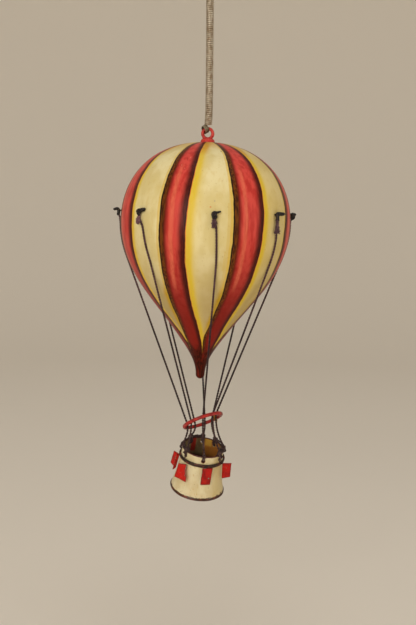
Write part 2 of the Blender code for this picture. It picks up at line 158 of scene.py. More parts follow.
# Each hook: azimuth, the height in mm where its thread is free of the knot, and where the thread leaves
# the knot, as in HOOK_BENDS
HOOKS = {
    "front": (5.5, -8.5, (1, 1.2, -6.2)),
    "right": (50.5, -11.3, (0, 1.2, -8.6)),
    "far_right": (96, -6.5, (0.3, 0.9, -2.4)),
    "back_right": (141, -7.9, (0.1, 1.2, -5.6)),
    "back": (186, -8.8, (-0.1, 1.2, -6.5)),
    "back_left": (230, -9.4, (-0.4, 1.2, -6.9)),
    "far_left": (-88, -7.4, (-0.2, 0.9, -2.7)),
    "left": (-45, -7.9, (0.5, 1.3, -4.6)),
}

# Each thread's azimuth at its knot, at the foot of the cone, inside the load ring and at the rim
THREADS = {
    "front": (6.9, 11.5, 9.7, 4),
    "right": (52.3, 54.2, 49.7, 55),
    "far_right": (95.2, 107.4, 69, 97),
    "back_right": (141, 143.4, 152, 145),
    "back": (187, 184, 180, 183),
    "back_left": (-130, -150.6, -142.2, -138),
    "far_left": (-92.9, -95.8, -92.4, -84),
    "left": (-42.8, -33.8, -39.8, -50),
}

# Each red plate: azimuth, turn and flare in degrees, then its upper and lower corners from left to
# right, each as (sideways, downwards) from the band's foot, in mm
PLATES = {
    "front": (18.2, 0, 3, (-3.3, 0), (3.1, 0), (-3.8, 10.3), (2.3, 10.3)),
    "right": (68, 88, 0, (0.2, 0), (6, -2), (0.2, 10.2), (5.6, 7.4)),
    "back_right": (145, 10, 6, (-2.8, 0.2), (3.1, 0), (-3.4, 10.6), (3.2, 9.8)),
    "back_left": (-155, -12, 5, (-3.2, 0), (2.9, 0.3), (-3, 10), (3.5, 10.6)),
    "far_left": (-92, -52, -1, (-4.6, 0.2), (2.1, 0), (-4.9, 8.6), (1.9, 11)),
    "left": (-46, 8, 8, (-4.1, 2.2), (1.8, 0), (-3.7, 10.6), (6.1, 9.5)),
}

# Each hook's bends, as its radii at the start, middle and end, then its points as (sideways, outwards,
# upwards) from the envelope's surface, in mm
HOOK_BENDS = {
    "front": (
        ((0.5, 0.75, 0.9), ((2.95, 1.4, 1.5), (1.3, 1.6, 0.95), (-0.3, 1.6, 0.9))),
        ((0.9, 0.85, 0.7), ((-0.3, 1.6, 0.9), (-1.05, 1.6, 0), (-0.85, 1.5, -1.2), (-0.5, 1.3, -2.3))),
        ((0.8, 0.8, 0.7), ((0.1, 1.6, 0.8), (0.4, 1.8, -0.3), (0.7, 1.6, -1.3), (0.2, 1.4, -2.2))),
        ((0.5, 0.5, 0.5), ((-0.5, 0.7, -0.6), (-0.4, -0.2, -0.7))),
    ),
    "right": (
        ((0.9, 1.12, 1), ((4.9, 2.9, 1.55), (3.4, 2.5, 1.45), (1.4, 1.9, 1.5), (0.2, 1.7, 1.45))),
        ((1, 1.1, 0.95), ((0.15, 1.7, 1.3), (0.1, 1.7, 0), (0.15, 1.7, -1.9))),
        ((0.6, 0.55, 0.5), ((0, 0.8, 1), (0, -0.2, 0.9))),
    ),
    "far_right": (
        ((0.9, 1, 0.95), ((0.2, 3.7, 1.5), (0, 2.5, 1.6), (0, 1.2, 1.3))),
        ((0.9, 1, 0.7), ((0.2, 3.2, 0.8), (0.1, 2.6, -0.5), (0, 1.8, -1.3))),
        ((1, 1, 0.9), ((0.1, 2.4, 0.8), (0, 1.9, -0.3), (0, 1.7, -1))),
        ((0.6, 0.55, 0.5), ((0, 0.8, 1.2), (0, -0.2, 1))),
    ),
    "back_right": (
        ((0.5, 0.7, 0.8), ((2.5, 1.8, 1), (1, 1.6, 0.9), (-0.6, 1.5, 0.6))),
        ((0.8, 0.7, 0.5), ((-0.6, 1.5, 0.7), (-1, 1.6, -0.7), (-0.5, 1.4, -2.2))),
        ((0.5, 0.5, 0.5), ((-0.3, 0.7, 0.2), (-0.3, -0.2, 0.1))),
    ),
    "back": (
        ((0.45, 0.7, 0.8), ((-2.6, 1.3, 1.1), (-1, 1.5, 0.8), (0.8, 1.6, 0.6))),
        ((0.8, 0.7, 0.5), ((0.8, 1.6, 0.7), (1.2, 1.6, -0.8), (0.6, 1.4, -2.3))),
        ((0.5, 0.5, 0.5), ((0.4, 0.7, 0.2), (0.4, -0.2, 0.1))),
    ),
    "back_left": (
        ((0.7, 0.85, 0.8), ((3, 1.6, 1.3), (1.2, 1.6, 1.1), (-0.6, 1.5, 0.8))),
        ((0.7, 0.8, 0.5), ((-0.6, 1.5, 0.9), (-1.3, 1.6, -0.4), (-0.8, 1.5, -2.1))),
        ((0.5, 0.5, 0.5), ((-0.3, 0.7, 0.3), (-0.3, -0.2, 0.2))),
    ),
    "far_left": (
        ((0.8, 1, 0.95), ((0.3, 4.1, 0.9), (0.1, 2.7, 1.15), (0, 1.5, 0.3), (0, 1.6, -1.9))),
        ((0.5, 0.45, 0.45), ((0, 1.2, 0.3), (0, -0.2, 0.4))),
    ),
    "left": (
        ((1.05, 1.1, 0.9), ((2.9, 1.2, 1.3), (1.7, 1.4, 1), (0.1, 1.5, 0.7))),
        ((0.8, 0.85, 0.7), ((0, 1.6, 1.1), (-1.3, 1.8, 0.4), (-1.2, 1.7, -0.8), (-0.6, 1.6, -1.9))),
        ((0.8, 0.8, 0.6), ((0.6, 1.5, 0.5), (0.4, 1.6, -0.6), (-0.3, 1.6, -1.6))),
        ((0.5, 0.5, 0.5), ((-0.3, 0.7, 0.2), (-0.3, -0.2, 0.1))),
    ),
}

# Each knot's windings, as its place sideways and outwards, its top and foot, and its half widths
# there, in mm; then the loops that stand open below a hook
KNOT_WINDINGS = {
    "front": ((-0.2, 1.5, -2.4, -4.6, 1, 1.5), (-0.05, 1.6, -4, -7.1, 1.6, 1.35)),
    "right": ((0.1, 1.6, -1.3, -5.8, 1.15, 1), (0, 1.8, -5.2, -9.3, 1, 2)),
    "far_right": ((0, 1.1, -1.6, -2.8, 0.6, 0.4),),
    "back_right": ((-0.5, 1.5, -2.2, -5.9, 1.1, 1.5),),
    "back": ((0.6, 1.5, -2.3, -6.8, 1.2, 1.5),),
    "back_left": ((-0.8, 1.5, -2.2, -4.6, 1.4, 1.1), (-0.7, 1.6, -4.3, -7.4, 1.1, 1.7)),
    "far_left": ((0, 1.1, -2, -3, 0.5, 0.35),),
    "left": ((-0.6, 1.4, -2, -3.7, 1, 1), (-0.75, 1.4, -3.3, -6.4, 1.2, 1.35)),
}
KNOT_LOOPS = {
    "left": (((-0.6, 1.6, -3.2), (-2, 1.8, -4.3), (-1.8, 1.7, -6.1), (-0.5, 1.6, -6.7),
              (0.6, 1.5, -5.2), (0.1, 1.6, -3.5), (-0.8, 1.6, -3.2)),
             ((-0.5, 2.5, -3.5), (-0.6, 2.7, -4.9), (-0.4, 2.5, -6.2))),
}

# The knots with loose ends, how pale some knots are, and how far a turn of winding goes down, in mm
LOOSE_ENDS = ("right", "back_right", "back", "back_left")
PALE_KNOTS = {"left": 0.6, "front": 0.05, "right": 0.05}
WINDING_PITCH = 1.1

# Each lashing: its turns' offsets in degrees and its lump's size; its loose ends, each as its swing in
# degrees, outwards and length in mm; and its runs along the rim, each as its reach in degrees and
# how far it bows outwards and upwards in mm
LASHINGS = {
    "front": ((-1.6, 1.9), 0, (), ()),
    "right": ((-3.5, 0, 3.2), 0.82, ((-5, 1.6, 4.4), (4, 1.5, 2.6)),
              ((42, -0.9, 0.5), (41, 0.6, 0.7))),
    "far_right": ((-3, 0.4, 3.4), 0.85, ((4, 1.2, 2.6),), ((-40, 0.4, 0.2),)),
    "back_right": ((-2.6, 0.2, 2.9), 0.9, ((-3, -1.4, 2.8),), ((-46, -0.9, 0.8), (-47, 0.4, 1))),
    "back": ((-2.6, 2.4), 0.8, ((4, -1.5, 2.4),), ((38, 0.3, 0.9), (37, -0.7, 0.6))),
    "back_left": ((-2.6, 0.2, 2.9), 0.9, ((-4, -1.5, 3),), ((40, -0.7, 0.6),)),
    "far_left": ((-3.2, 0, 3.2), 0.92, ((-4, 1.2, 2.4), (9, -1.4, 3.4)), ((33, 0.4, 0.3),)),
    "left": ((-3, 0.2, 3.3), 1.1, ((3.5, 1.6, 4.6), (-6, 1.5, 2.2)), ((-33, -0.9, 0.5),)),
}

# The holes that show as open, with no plug of thread, and the steps of winding on a lump
OPEN_HOLES = ("front", "back")
LUMP_WINDING_STEPS = 57

# The azimuths of each yellow gore's left and right edges at the levels, in mm from the anchors
EDGE_LEVELS = (43, 34, 25, 8, -10, -28, -46, -58, -66, -72, -77, -82)
GORES = {
    "front": ((-6, -8.3, -8.8, -10.7, -12.2, -12.9, -12, -10.1, -6, -2, 2, 5.8),
              (13, 17.8, 16.8, 17.7, 17.7, 17.9, 17.7, 14.6, 11.1, 5.6, 5.4, 6)),
    "right": ((43, 41.6, 41.2, 40.2, 39.5, 39.6, 41.3, 41.7, 42.8, 45.4, 48.3, 50.6),
              (64, 66, 66.5, 65.5, 63.8, 65.2, 68.4, 66.5, 62, 57, 52, 50.8)),
    "far_right": ((85, 84, 83.5, 83, 83, 83.5, 84.5, 86, 88.5, 92, 95, 97),
                  (108, 109, 110, 110, 110, 109.5, 108.5, 107, 105, 102, 99, 97.2)),
    "back_right": ((130, 129, 128, 127.5, 127.5, 128, 129.5, 131, 133, 137, 140, 141),
                   (153, 154, 154.5, 154.5, 154, 154, 153, 151, 149, 145, 142, 141.2)),
    "back": ((175, 174, 172.5, 172, 172.5, 173, 174, 176, 178, 181, 184, 186),
             (197, 198, 198.5, 199, 199, 198.5, 197.5, 196, 194, 191, 188, 186.2)),
    "back_left": ((219, 218, 217, 216.5, 217, 217.5, 218, 220, 222, 225, 228, 230),
                  (242, 243, 243.5, 243.5, 243, 243, 242, 240, 238, 234, 231, 230.2)),
    "far_left": ((256, 255, 254.5, 254, 254, 254.5, 255.5, 257, 259, 264, 268, 271),
                 (277, 277.5, 278, 278, 278, 278, 277.5, 277, 276, 274.5, 273, 272.2)),
    "left": ((301, 299.5, 302.5, 304.6, 304.6, 302.6, 301.4, 302.2, 306, 312, 317, 317.2),
             (329, 330, 330.5, 330.2, 329.8, 328.6, 325.8, 323.7, 321.5, 319, 317.4, 317.4)),
}
EDGE_WOBBLE = 0.12 * MM

# Each yellow gore's narrowness of its golden side, and how golden it is as a whole
GOLD = {
    "front": (1, 0), "right": (1.25, 0.65), "far_right": (1.6, 0.4), "back_right": (1.4, 0.2),
    "back": (1.1, 0), "back_left": (1.3, 0.3), "far_left": (1.6, 0.2), "left": (1.65, 0),
}

# The small marks on the envelope's paint: azimuth, height in mm from the anchors, half width and half
# height in mm, and colour
MARKS = (
    (5.5, 7.1, 0.5, 0.7, (176, 160, 132)),
    (3.0, 3.8, 0.65, 0.65, (206, 122, 56)),
    (15.0, 35.0, 0.6, 0.3, (122, 88, 48)),
    (-21.0, 26.2, 0.35, 0.9, (216, 112, 94)),
    (-17.5, 24.3, 0.35, 0.7, (216, 106, 90)),
    (-16.0, 30.6, 0.5, 0.5, (216, 112, 96)),
    (-18.2, 29.8, 0.3, 2.6, (158, 40, 36)),
)

# The envelope's mesh and its faint dents
ENVELOPE_COLUMNS = 360
DENT = 0.05 * MM
DENT_SIZE = 16.0 * MM
DENT_FADE = 12.0 * MM


# Places and frames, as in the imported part

def around(azimuth, radius, height):
    """A point at an azimuth round the Z axis."""
    angle = math.radians(azimuth)
    return Vector((radius * math.sin(angle), -radius * math.cos(angle), height))


def sideways_at(azimuth):
    """The direction along the surface, to the right, at an azimuth."""
    return around(azimuth + 90.0, 1.0, 0.0)


def bezier(start, leave, arrive, stop, steps):
    """Points on one cubic curve, without its last point."""
    places = []
    for step in range(steps):
        t = step / steps
        u = 1.0 - t
        places.append(tuple(u ** 3 * a + 3 * u * u * t * b + 3 * u * t * t * c + t ** 3 * d
                            for a, b, c, d in zip(start, leave, arrive, stop)))
    return places


def envelope_outline(steps):
    """The envelope's outline from the crown to the tip, as (radius, height)."""
    crown = (0.0, CROWN_HEIGHT)
    belly = (BELLY_RADIUS, BELLY_HEIGHT)
    cone = (CONE_RADIUS, CONE_HEIGHT)
    neck = (TIP_RADIUS, TIP_HEIGHT + TIP_RADIUS)
    outline = bezier(crown, (CROWN_REACH, CROWN_HEIGHT),
                     (BELLY_RADIUS, BELLY_HEIGHT + ABOVE_BELLY_REACH), belly, steps)
    outline += bezier(belly, (BELLY_RADIUS, BELLY_HEIGHT - BELOW_BELLY_REACH),
                      Vector(cone) + CONE_SLOPE * ABOVE_CONE_REACH, cone, steps)
    outline += bezier(cone, Vector(cone) - CONE_SLOPE * BELOW_CONE_REACH,
                      (neck[0], neck[1] + NECK_REACH), neck, steps // 2)
    for step in range(6):
        angle = math.radians(90.0 * step / 6)
        outline.append((TIP_RADIUS * math.cos(angle), neck[1] - TIP_RADIUS * math.sin(angle)))
    outline.append((0.0, TIP_HEIGHT))
    return outline


OUTLINE = envelope_outline(60)
OUTLINE_HEIGHTS = np.array([height for radius, height in reversed(OUTLINE)])
OUTLINE_RADII = np.array([radius for radius, height in reversed(OUTLINE)])


def radius_at(height):
    """The envelope's radius at a height."""
    return float(np.interp(height, OUTLINE_HEIGHTS, OUTLINE_RADII))


def envelope_frame():
    crown = Matrix.Translation((ENVELOPE_SHIFT, 0.0, ANCHOR_LEVEL + CROWN_HEIGHT))
    lean = Matrix.Rotation(ENVELOPE_LEAN, 4, "Y")
    return crown @ lean @ Matrix.Translation((0.0, 0.0, -CROWN_HEIGHT))


def ring_frame():
    tip = Matrix.Rotation(-RING_RIGHT_UP, 4, "Y") @ Matrix.Rotation(-RING_FRONT_UP, 4, "X")
    return Matrix.Translation(RING_CENTRE) @ tip


def basket_frame():
    tip = Matrix.Rotation(BASKET_SIDEWAYS, 4, "Y") @ Matrix.Rotation(BASKET_FORWARD, 4, "X")
    return Matrix.Translation(RIM_CENTRE) @ tip


def wall_radius(depth):
    """The basket's outer radius at a depth under the rim."""
    share = min(max((depth - COLLAR_HEIGHT) / (BASKET_HEIGHT - COLLAR_HEIGHT), 0.0), 1.0)
    return RIM_RADIUS + (BASE_RADIUS - RIM_RADIUS) * (0.65 * share + 0.35 * share ** 4)


def hook_place(azimuth, offset):
    """A point near a hook, given as (sideways, outwards, upwards) in mm."""
    sideways, outwards, upwards = Vector(offset) * MM
    surface = radius_at(upwards)
    drop = sideways ** 2 / (2.0 * surface)
    place = around(azimuth, surface + outwards - drop, upwards) + sideways_at(azimuth) * sideways
    return envelope_frame() @ place


def smooth_route(points, steps):
    """Points on a smooth curve through the given ones (Catmull-Rom)."""
    points = [Vector(point) for point in points]
    ends = [points[0] * 2 - points[1], *points, points[-1] * 2 - points[-2]]
    route = []
    for before, start, stop, after in zip(ends, ends[1:], ends[2:], ends[3:]):
        for step in range(steps):
            t = step / steps
            route.append(0.5 * (2 * start + (stop - before) * t
                                + (2 * before - 5 * start + 4 * stop - after) * t ** 2
                                + (3 * start - before - 3 * stop + after) * t ** 3))
    return route + [points[-1]]


def evenly(route, spacing):
    """The route's points moved to even distances along it."""
    route = np.array(route, float)
    along = np.concatenate([[0.0], np.cumsum(np.linalg.norm(np.diff(route, axis=0), axis=1))])
    count = max(int(along[-1] / spacing), 3)
    marks = np.linspace(0.0, along[-1], count)
    return np.stack([np.interp(marks, along, route[:, axis]) for axis in range(3)], axis=1)


def eased(route):
    """The route in even short steps, with its corners rounded."""
    line = evenly(route, 1.0 * MM)
    for _ in range(THREAD_EASING):
        line[1:-1] = (line[:-2] + 2.0 * line[1:-1] + line[2:]) / 4.0
    return line


def facing(place, azimuth):
    """A frame at a place, turned to an azimuth."""
    return Matrix.Translation(place) @ Matrix.Rotation(math.radians(azimuth), 4, "Z")


def rim_point(azimuth, out, height):
    """A point by the basket's rim, outwards from the middle of its tin and upwards, in mm."""
    return basket_frame() @ around(azimuth, RIM_RADIUS - TIN / 2 + out * MM, height * MM)


# Building meshes

class Shape:
    """Points, faces and named values that become one mesh."""

    def __init__(self):
        self.points = []
        self.faces = []
        self.values = {}

    def grid(self, rows, closed_across=True, closed_along=False, **values):
        """Add rows of points joined into faces."""
        rows = np.asarray(rows, float)
        count, width = rows.shape[:2]
        first = len(self.points)
        self.points.extend(rows.reshape(-1, 3).tolist())
        for row in range(count if closed_along else count - 1):
            below = (row + 1) % count
            for column in range(width if closed_across else width - 1):
                beside = (column + 1) % width
                self.faces.append((first + row * width + column, first + row * width + beside,
                                   first + below * width + beside, first + below * width + column))
        for name, value in values.items():
            filled = self.values.setdefault(name, [])
            filled.extend([0.0] * (first - len(filled)))
            filled.extend(np.broadcast_to(np.asarray(value, float), rows.shape[:2]).reshape(-1).tolist())

    def turned(self, outline, sides, place=Matrix.Identity(4), **values):
        """Add a surface turned round the place's Z axis from (radius, height) points."""
        rows = [[place @ around(360.0 * side / sides, radius, height) for side in range(sides)]
                for radius, height in outline]
        self.grid(rows, **{name: np.asarray(value)[:, None] for name, value in values.items()})

    def tube(self, route, radii, sides=10, closed=False, **values):
        """Add a round wire along a route, closed into a ring or with rounded ends."""
        route = np.array(route, float)
        radii = np.array(np.broadcast_to(radii, len(route)), float)
        if closed:
            ahead = np.roll(route, -1, axis=0) - np.roll(route, 1, axis=0)
        else:
            starts = unit(route[0] - route[1])
            stops = unit(route[-1] - route[-2])
            before = [route[0] + starts * radii[0] * math.sin(bend) for bend in CAP_BENDS]
            after = [route[-1] + stops * radii[-1] * math.sin(bend) for bend in CAP_BENDS[::-1]]
            caps = np.cos(CAP_BENDS)
            radii = np.concatenate([radii[0] * caps, radii, radii[-1] * caps[::-1]])
            route = np.concatenate([before, route, after])
            ahead = np.gradient(route, axis=0)
        ahead /= np.linalg.norm(ahead, axis=1)[:, None]
        across = np.zeros_like(route)
        guess = (0.0, 0.0, 1.0) if abs(ahead[0][2]) < 0.8 else (1.0, 0.0, 0.0)
        last = unit(np.cross(ahead[0], guess))
        for index, direction in enumerate(ahead):
            last = unit(last - direction * last.dot(direction))
            across[index] = last
        over = np.cross(ahead, across)
        if closed:
            landed = unit(across[-1] - ahead[0] * across[-1].dot(ahead[0]))
            twist = math.atan2(landed.dot(over[0]), landed.dot(across[0]))
            back = -twist * np.arange(len(route))[:, None] / len(route)
            across, over = (across * np.cos(back) + over * np.sin(back),
                            over * np.cos(back) - across * np.sin(back))
        angles = math.tau * np.arange(sides) / sides
        rings = (route[:, None] + radii[:, None, None]
                 * (np.cos(angles)[:, None] * across[:, None] + np.sin(angles)[:, None] * over[:, None]))
        first = len(self.points)
        self.grid(rings, closed_along=closed, **values)
        if not closed:
            self.faces.append(tuple(range(first, first + sides))[::-1])
            final = first + (len(route) - 1) * sides
            self.faces.append(tuple(range(final, final + sides)))

    def blob(self, place, size, seed=0.0, rough=0.15, **values):
        """Add an uneven egg of the given half sizes."""
        rows = []
        for row in range(13):
            fall = math.pi * (row + 0.02) / 12.04
            out = math.sin(fall)
            ring = []
            for column in range(18):
                turn = math.tau * column / 18
                way = Vector((out * math.cos(turn), out * math.sin(turn), math.cos(fall)))
                swell = 1.0 + rough * noise.noise(way * 1.7 + Vector((seed, 0.0, 0.0)))
                ring.append(place @ Vector(side * half * swell for side, half in zip(way, size)))
            rows.append(ring)
        self.grid(rows, **values)

    def thread(self, route, radius=THREAD, turn=3.2 * MM, spacing=0.26 * MM, phase=0.0, **values):
        """Add a thread of two strands twisted together."""
        line = evenly(route, spacing)
        ahead = np.gradient(line, axis=0)
        ahead /= np.linalg.norm(ahead, axis=1)[:, None]
        guess = np.array((0.0, 1.0, 0.0)) if abs(ahead[0][1]) < 0.8 else np.array((1.0, 0.0, 0.0))
        across = np.cross(ahead, guess)
        across /= np.linalg.norm(across, axis=1)[:, None]
        over = np.cross(ahead, across)
        bend = phase + math.tau * spacing * np.arange(len(line)) / turn
        offset = np.cos(bend)[:, None] * across + np.sin(bend)[:, None] * over
        for side in (1.0, -1.0):
            self.tube(line + offset * side * radius * 0.5, radius * 0.53, sides=6, **values)

    def roughen(self, amount, size):
        """Push the points a little off their places, in lumps of the given size."""
        points = [Vector(point) for point in self.points]
        self.points = [tuple(point + noise.noise_vector(point / size) * amount) for point in points]


def unit(vector):
    return vector / max(np.linalg.norm(vector), 1e-12)


def tidy_mesh(mesh, sharp=50.0):
    """Weld the mesh's points, turn its faces outwards and shade it smooth."""
    tool = bmesh.new()
    tool.from_mesh(mesh)
    bmesh.ops.remove_doubles(tool, verts=tool.verts, dist=2e-6)
    bmesh.ops.recalc_face_normals(tool, faces=tool.faces)
    tool.to_mesh(mesh)
    tool.free()
    shade(mesh, sharp)


def shade(mesh, sharp):
    """Shade a mesh smooth, but for edges over an angle."""
    mesh.shade_smooth()
    mesh.set_sharp_from_angle(angle=math.radians(sharp))


def new_object(name, data):
    made = bpy.data.objects.new(name, data)
    bpy.context.scene.collection.objects.link(made)
    return made


def add_piece(name, mesh, material, body, nodes):
    """Show a mesh as a piece of a body, in place of the CAD nodes."""
    piece = new_object(name, mesh)
    mesh.materials.append(material)
    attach(piece, body)
    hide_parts(*nodes)
    return piece


def add_part(name, shape, material, node, sharp=50.0):
    """Show a shape as a piece of the balloon, in place of one CAD node."""
    return add_piece(name, mesh_of(name, shape, sharp), material, "balloon", [node])


def keep(mesh, name, values, domain="POINT"):
    """Keep a value on each point, corner or face of a mesh."""
    mesh.attributes.new(name, "FLOAT", domain).data.foreach_set("value", np.ravel(values))


def mesh_of(name, shape, sharp=50.0):
    mesh = bpy.data.meshes.new(name)
    mesh.from_pydata(shape.points, [], shape.faces)
    for key, value in shape.values.items():
        keep(mesh, key, value + [0.0] * (len(shape.points) - len(value)))
    tidy_mesh(mesh, sharp)
    return mesh


def applied(piece):
    """The piece's mesh with its modifiers worked in."""
    mesh = bpy.data.meshes.new_from_object(piece.evaluated_get(bpy.context.evaluated_depsgraph_get()))
    piece.modifiers.clear()
    piece.data = mesh
    return mesh


# Building materials

def paint(red, green, blue):
    """A colour from its 0 to 255 values, as light."""
    shares = (value / 255.0 for value in (red, green, blue))
    return (*(share / 12.92 if share <= 0.04045 else ((share + 0.055) / 1.055) ** 2.4
              for share in shares), 1.0)


def three(size):
    """A size along X, Y and Z, from three numbers or one."""
    return size if isinstance(size, tuple) else (size, size, size)


class Look:
    """A material, built from small steps."""

    def __init__(self, name, **fixed):
        self.material = bpy.data.materials.new(name)
        self.material.use_nodes = True
        self.tree = self.material.node_tree
        self.shader = self.tree.nodes["Principled BSDF"]
        for key, value in fixed.items():
            self.shader.inputs[key.replace("_", " ")].default_value = value
        self.where = self.add("TexCoord", out="Object")

    def add(self, kind, *inputs, out=0, **settings):
        """Add a node, set its options and inputs, and give its output."""
        made = self.tree.nodes.new("ShaderNode" + kind)
        for key, value in settings.items():
            setattr(made, key, value)
        for socket, value in zip(made.inputs, inputs):
            self.put(socket, value)
        return made.outputs[out]

    def put(self, socket, value):
        if isinstance(value, bpy.types.NodeSocket):
            self.tree.links.new(value, socket)
        elif value is not None:
            socket.default_value = value

    def value(self, name):
        """A value kept on the mesh."""
        return self.add("Attribute", out="Fac", attribute_name=name)

    def sum(self, first, second):
        return self.add("Math", first, second, operation="ADD")

    def product(self, first, second):
        return self.add("Math", first, second, operation="MULTIPLY")

    def fade(self, value, low, high):
        """0 at low and 1 at high, smoothly; low may be the larger."""
        return self.add("MapRange", value, low, high, 0.0, 1.0, interpolation_type="SMOOTHSTEP")

    def spread(self, value, low, high):
        """From a 0 to 1 value to the range from low to high."""
        return self.add("MapRange", value, 0.0, 1.0, low, high)

    def band(self, value, low, high, soft):
        """1 between low and high, with soft sides."""
        return self.product(self.fade(value, low - soft, low), self.fade(value, high + soft, high))

    def grain(self, size, detail=3.0, roughness=0.55, shift=0.0):
        """A random 0 to 1 pattern, of grains of the given size in mm."""
        scale = tuple(1.0 / (side * MM) for side in three(size))
        moved = (shift, shift * 0.7, -shift)
        place = self.add("VectorMath", self.where, scale, moved, operation="MULTIPLY_ADD")
        return self.add("TexNoise", place, None, 1.0, detail, roughness)

    def specks(self, size, low, high, shift=0.0):
        """Scattered spots: 1 where a random pattern is past high."""
        return self.fade(self.grain(size, 2.0, 0.5, shift), low, high)

    def blend(self, under, over, share):
        """One colour over another, by a share."""
        made = self.tree.nodes.new("ShaderNodeMix")
        made.data_type = "RGBA"
        for index, value in ((0, share), (6, under), (7, over)):
            self.put(made.inputs[index], value)
        return made.outputs[2]

    def mottled(self, first, second, pattern, low, high):
        """The first paint, and the second where a pattern rises from low to high."""
        return self.blend(paint(*first), paint(*second), self.fade(pattern, low, high))

    def coats(self, colour, *layers):
        """A colour under more coats, each given as its colour and the shares whose product it has."""
        for over, share, *more in layers:
            for other in more:
                share = self.product(share, other)
            if isinstance(over, tuple):
                over = paint(*over)
            colour = self.blend(colour, over, share)
        return colour

    def near(self, place, size, soft):
        """1 at a place, fading to 0 at the size's half widths in mm."""
        scale = tuple(1.0 / (side * MM) for side in three(size))
        moved = self.add("VectorMath", self.where, tuple(place), operation="SUBTRACT")
        scaled = self.add("VectorMath", moved, scale, operation="MULTIPLY")
        return self.fade(self.add("VectorMath", scaled, operation="LENGTH", out="Value"), 1.0, soft)

    def done(self, colour, roughness, relief=None, depth=0.0):
        """Join the colour, the roughness and the relief, with its depth in mm, to the shader."""
        self.put(self.shader.inputs["Base Color"], colour)
        self.put(self.shader.inputs["Roughness"], roughness)
        if relief is not None:
            bump = self.tree.nodes.new("ShaderNodeBump")
            bump.inputs["Distance"].default_value = depth * MM
            self.put(bump.inputs["Height"], relief)
            self.put(self.shader.inputs["Normal"], bump.outputs[0])
        return self.material


# The camera, the bowl-shaped backdrop and the lights

CAMERA_PLACE = Vector((0.0017, -0.519, -0.132))
CAMERA_DOWN = math.radians(6.474)
CAMERA_ROLL = math.radians(0.85)
CAMERA_LENS = 50.0
CAMERA_SENSOR = 36.0


def make_camera():
    data = bpy.data.cameras.new("camera")
    data.lens = CAMERA_LENS
    data.sensor_width = CAMERA_SENSOR
    data.clip_start = 0.01
    camera = new_object("camera", data)
    camera.matrix_world = (Matrix.Translation(CAMERA_PLACE)
                           @ Matrix.Rotation(math.radians(90.0) - CAMERA_DOWN, 4, "X")
                           @ Matrix.Rotation(CAMERA_ROLL, 4, "Z"))
    bpy.context.scene.camera = camera


BOWL_RADIUS = 2.3
BOWL_FLOOR = -0.42
BOWL_HEIGHT = 2.2
BOWL_BEND = 1.1
BOWL_COLOUR = (0.86, 0.80, 0.71, 1.0)


def make_stage():
    """A round backdrop that curves up from its floor."""
    flat = BOWL_RADIUS - BOWL_BEND
    outline = [(0.0, BOWL_FLOOR), (flat, BOWL_FLOOR)]
    for step in range(1, 13):
        angle = math.radians(90.0 * step / 12)
        rise = BOWL_BEND * (1.0 - math.cos(angle))
        outline.append((flat + BOWL_BEND * math.sin(angle), BOWL_FLOOR + rise))
    outline.append((BOWL_RADIUS, BOWL_FLOOR + BOWL_HEIGHT))
    shape = Shape()
    shape.turned(outline, 64)
    mesh = mesh_of("backdrop", shape)
    mesh.flip_normals()
    mesh.materials.append(Look("backdrop", Specular_IOR_Level=0.0).done(BOWL_COLOUR, 1.0))
    backdrop = new_object("backdrop", mesh)


# Each light: place, width, height, power in watts and colour
LIGHTS = {
    "key": ((-0.55, -1.5, 0.05), 0.9, 1.3, 16.5, (1.0, 0.965, 0.90)),
    "top": ((0.1, -0.3, 1.2), 0.9, 0.9, 3.5, (1.0, 0.98, 0.95)),
    "fill": ((1.3, -0.7, 0.0), 0.7, 1.2, 4.0, (1.0, 0.98, 0.95)),
}
WORLD_COLOUR = (0.90, 0.86, 0.80, 1.0)
WORLD_STRENGTH = 0.42


def make_lights():
    for name, (place, width, height, power, colour) in LIGHTS.items():
        data = bpy.data.lights.new(name, "AREA")
        data.shape = "RECTANGLE"
        data.size = width
        data.size_y = height
        data.energy = power
        data.color = colour
        light = new_object(name, data)
        aim = Vector((0.0, 0.0, ANCHOR_LEVEL)) - Vector(place)
        light.matrix_world = Matrix.Translation(place) @ aim.to_track_quat("-Z", "Y").to_matrix().to_4x4()
    world = bpy.data.worlds.new("studio")
    world.use_nodes = True
    sky = world.node_tree.nodes["Background"]
    sky.inputs["Color"].default_value = WORLD_COLOUR
    sky.inputs["Strength"].default_value = WORLD_STRENGTH
    bpy.context.scene.world = world
    bpy.context.scene.view_settings.view_transform = "Standard"


# The materials

def red_wire_look(name, fresh, dull, groove, worn=()):
    """Red enamel brushed on wire, darker in its ridges, worn where it rubs, with painted glints."""
    look = Look(name, Specular_IOR_Level=0.3, Coat_Weight=0.1, Coat_Roughness=0.2)
    blotch = look.grain(2.5)
    ridge = look.grain((0.5, 0.5, 0.35), 3.0, 0.6, 4.0)
    colour = look.coats(
        look.mottled(fresh, dull, blotch, 0.42, 0.66),
        (groove, look.fade(ridge, 0.52, 0.68), 0.75),
        # pale specks: painted glints on the enamel
        ((225, 110, 90), look.specks(0.7, 0.66, 0.72, 9.0), 0.6),
        *(((126, 36, 34), look.near(place, 4.5, 0.4), 0.8) for place in worn))
    return look.done(colour, look.spread(ridge, 0.28, 0.5), look.sum(ridge, look.product(blotch, 0.6)), 0.14)


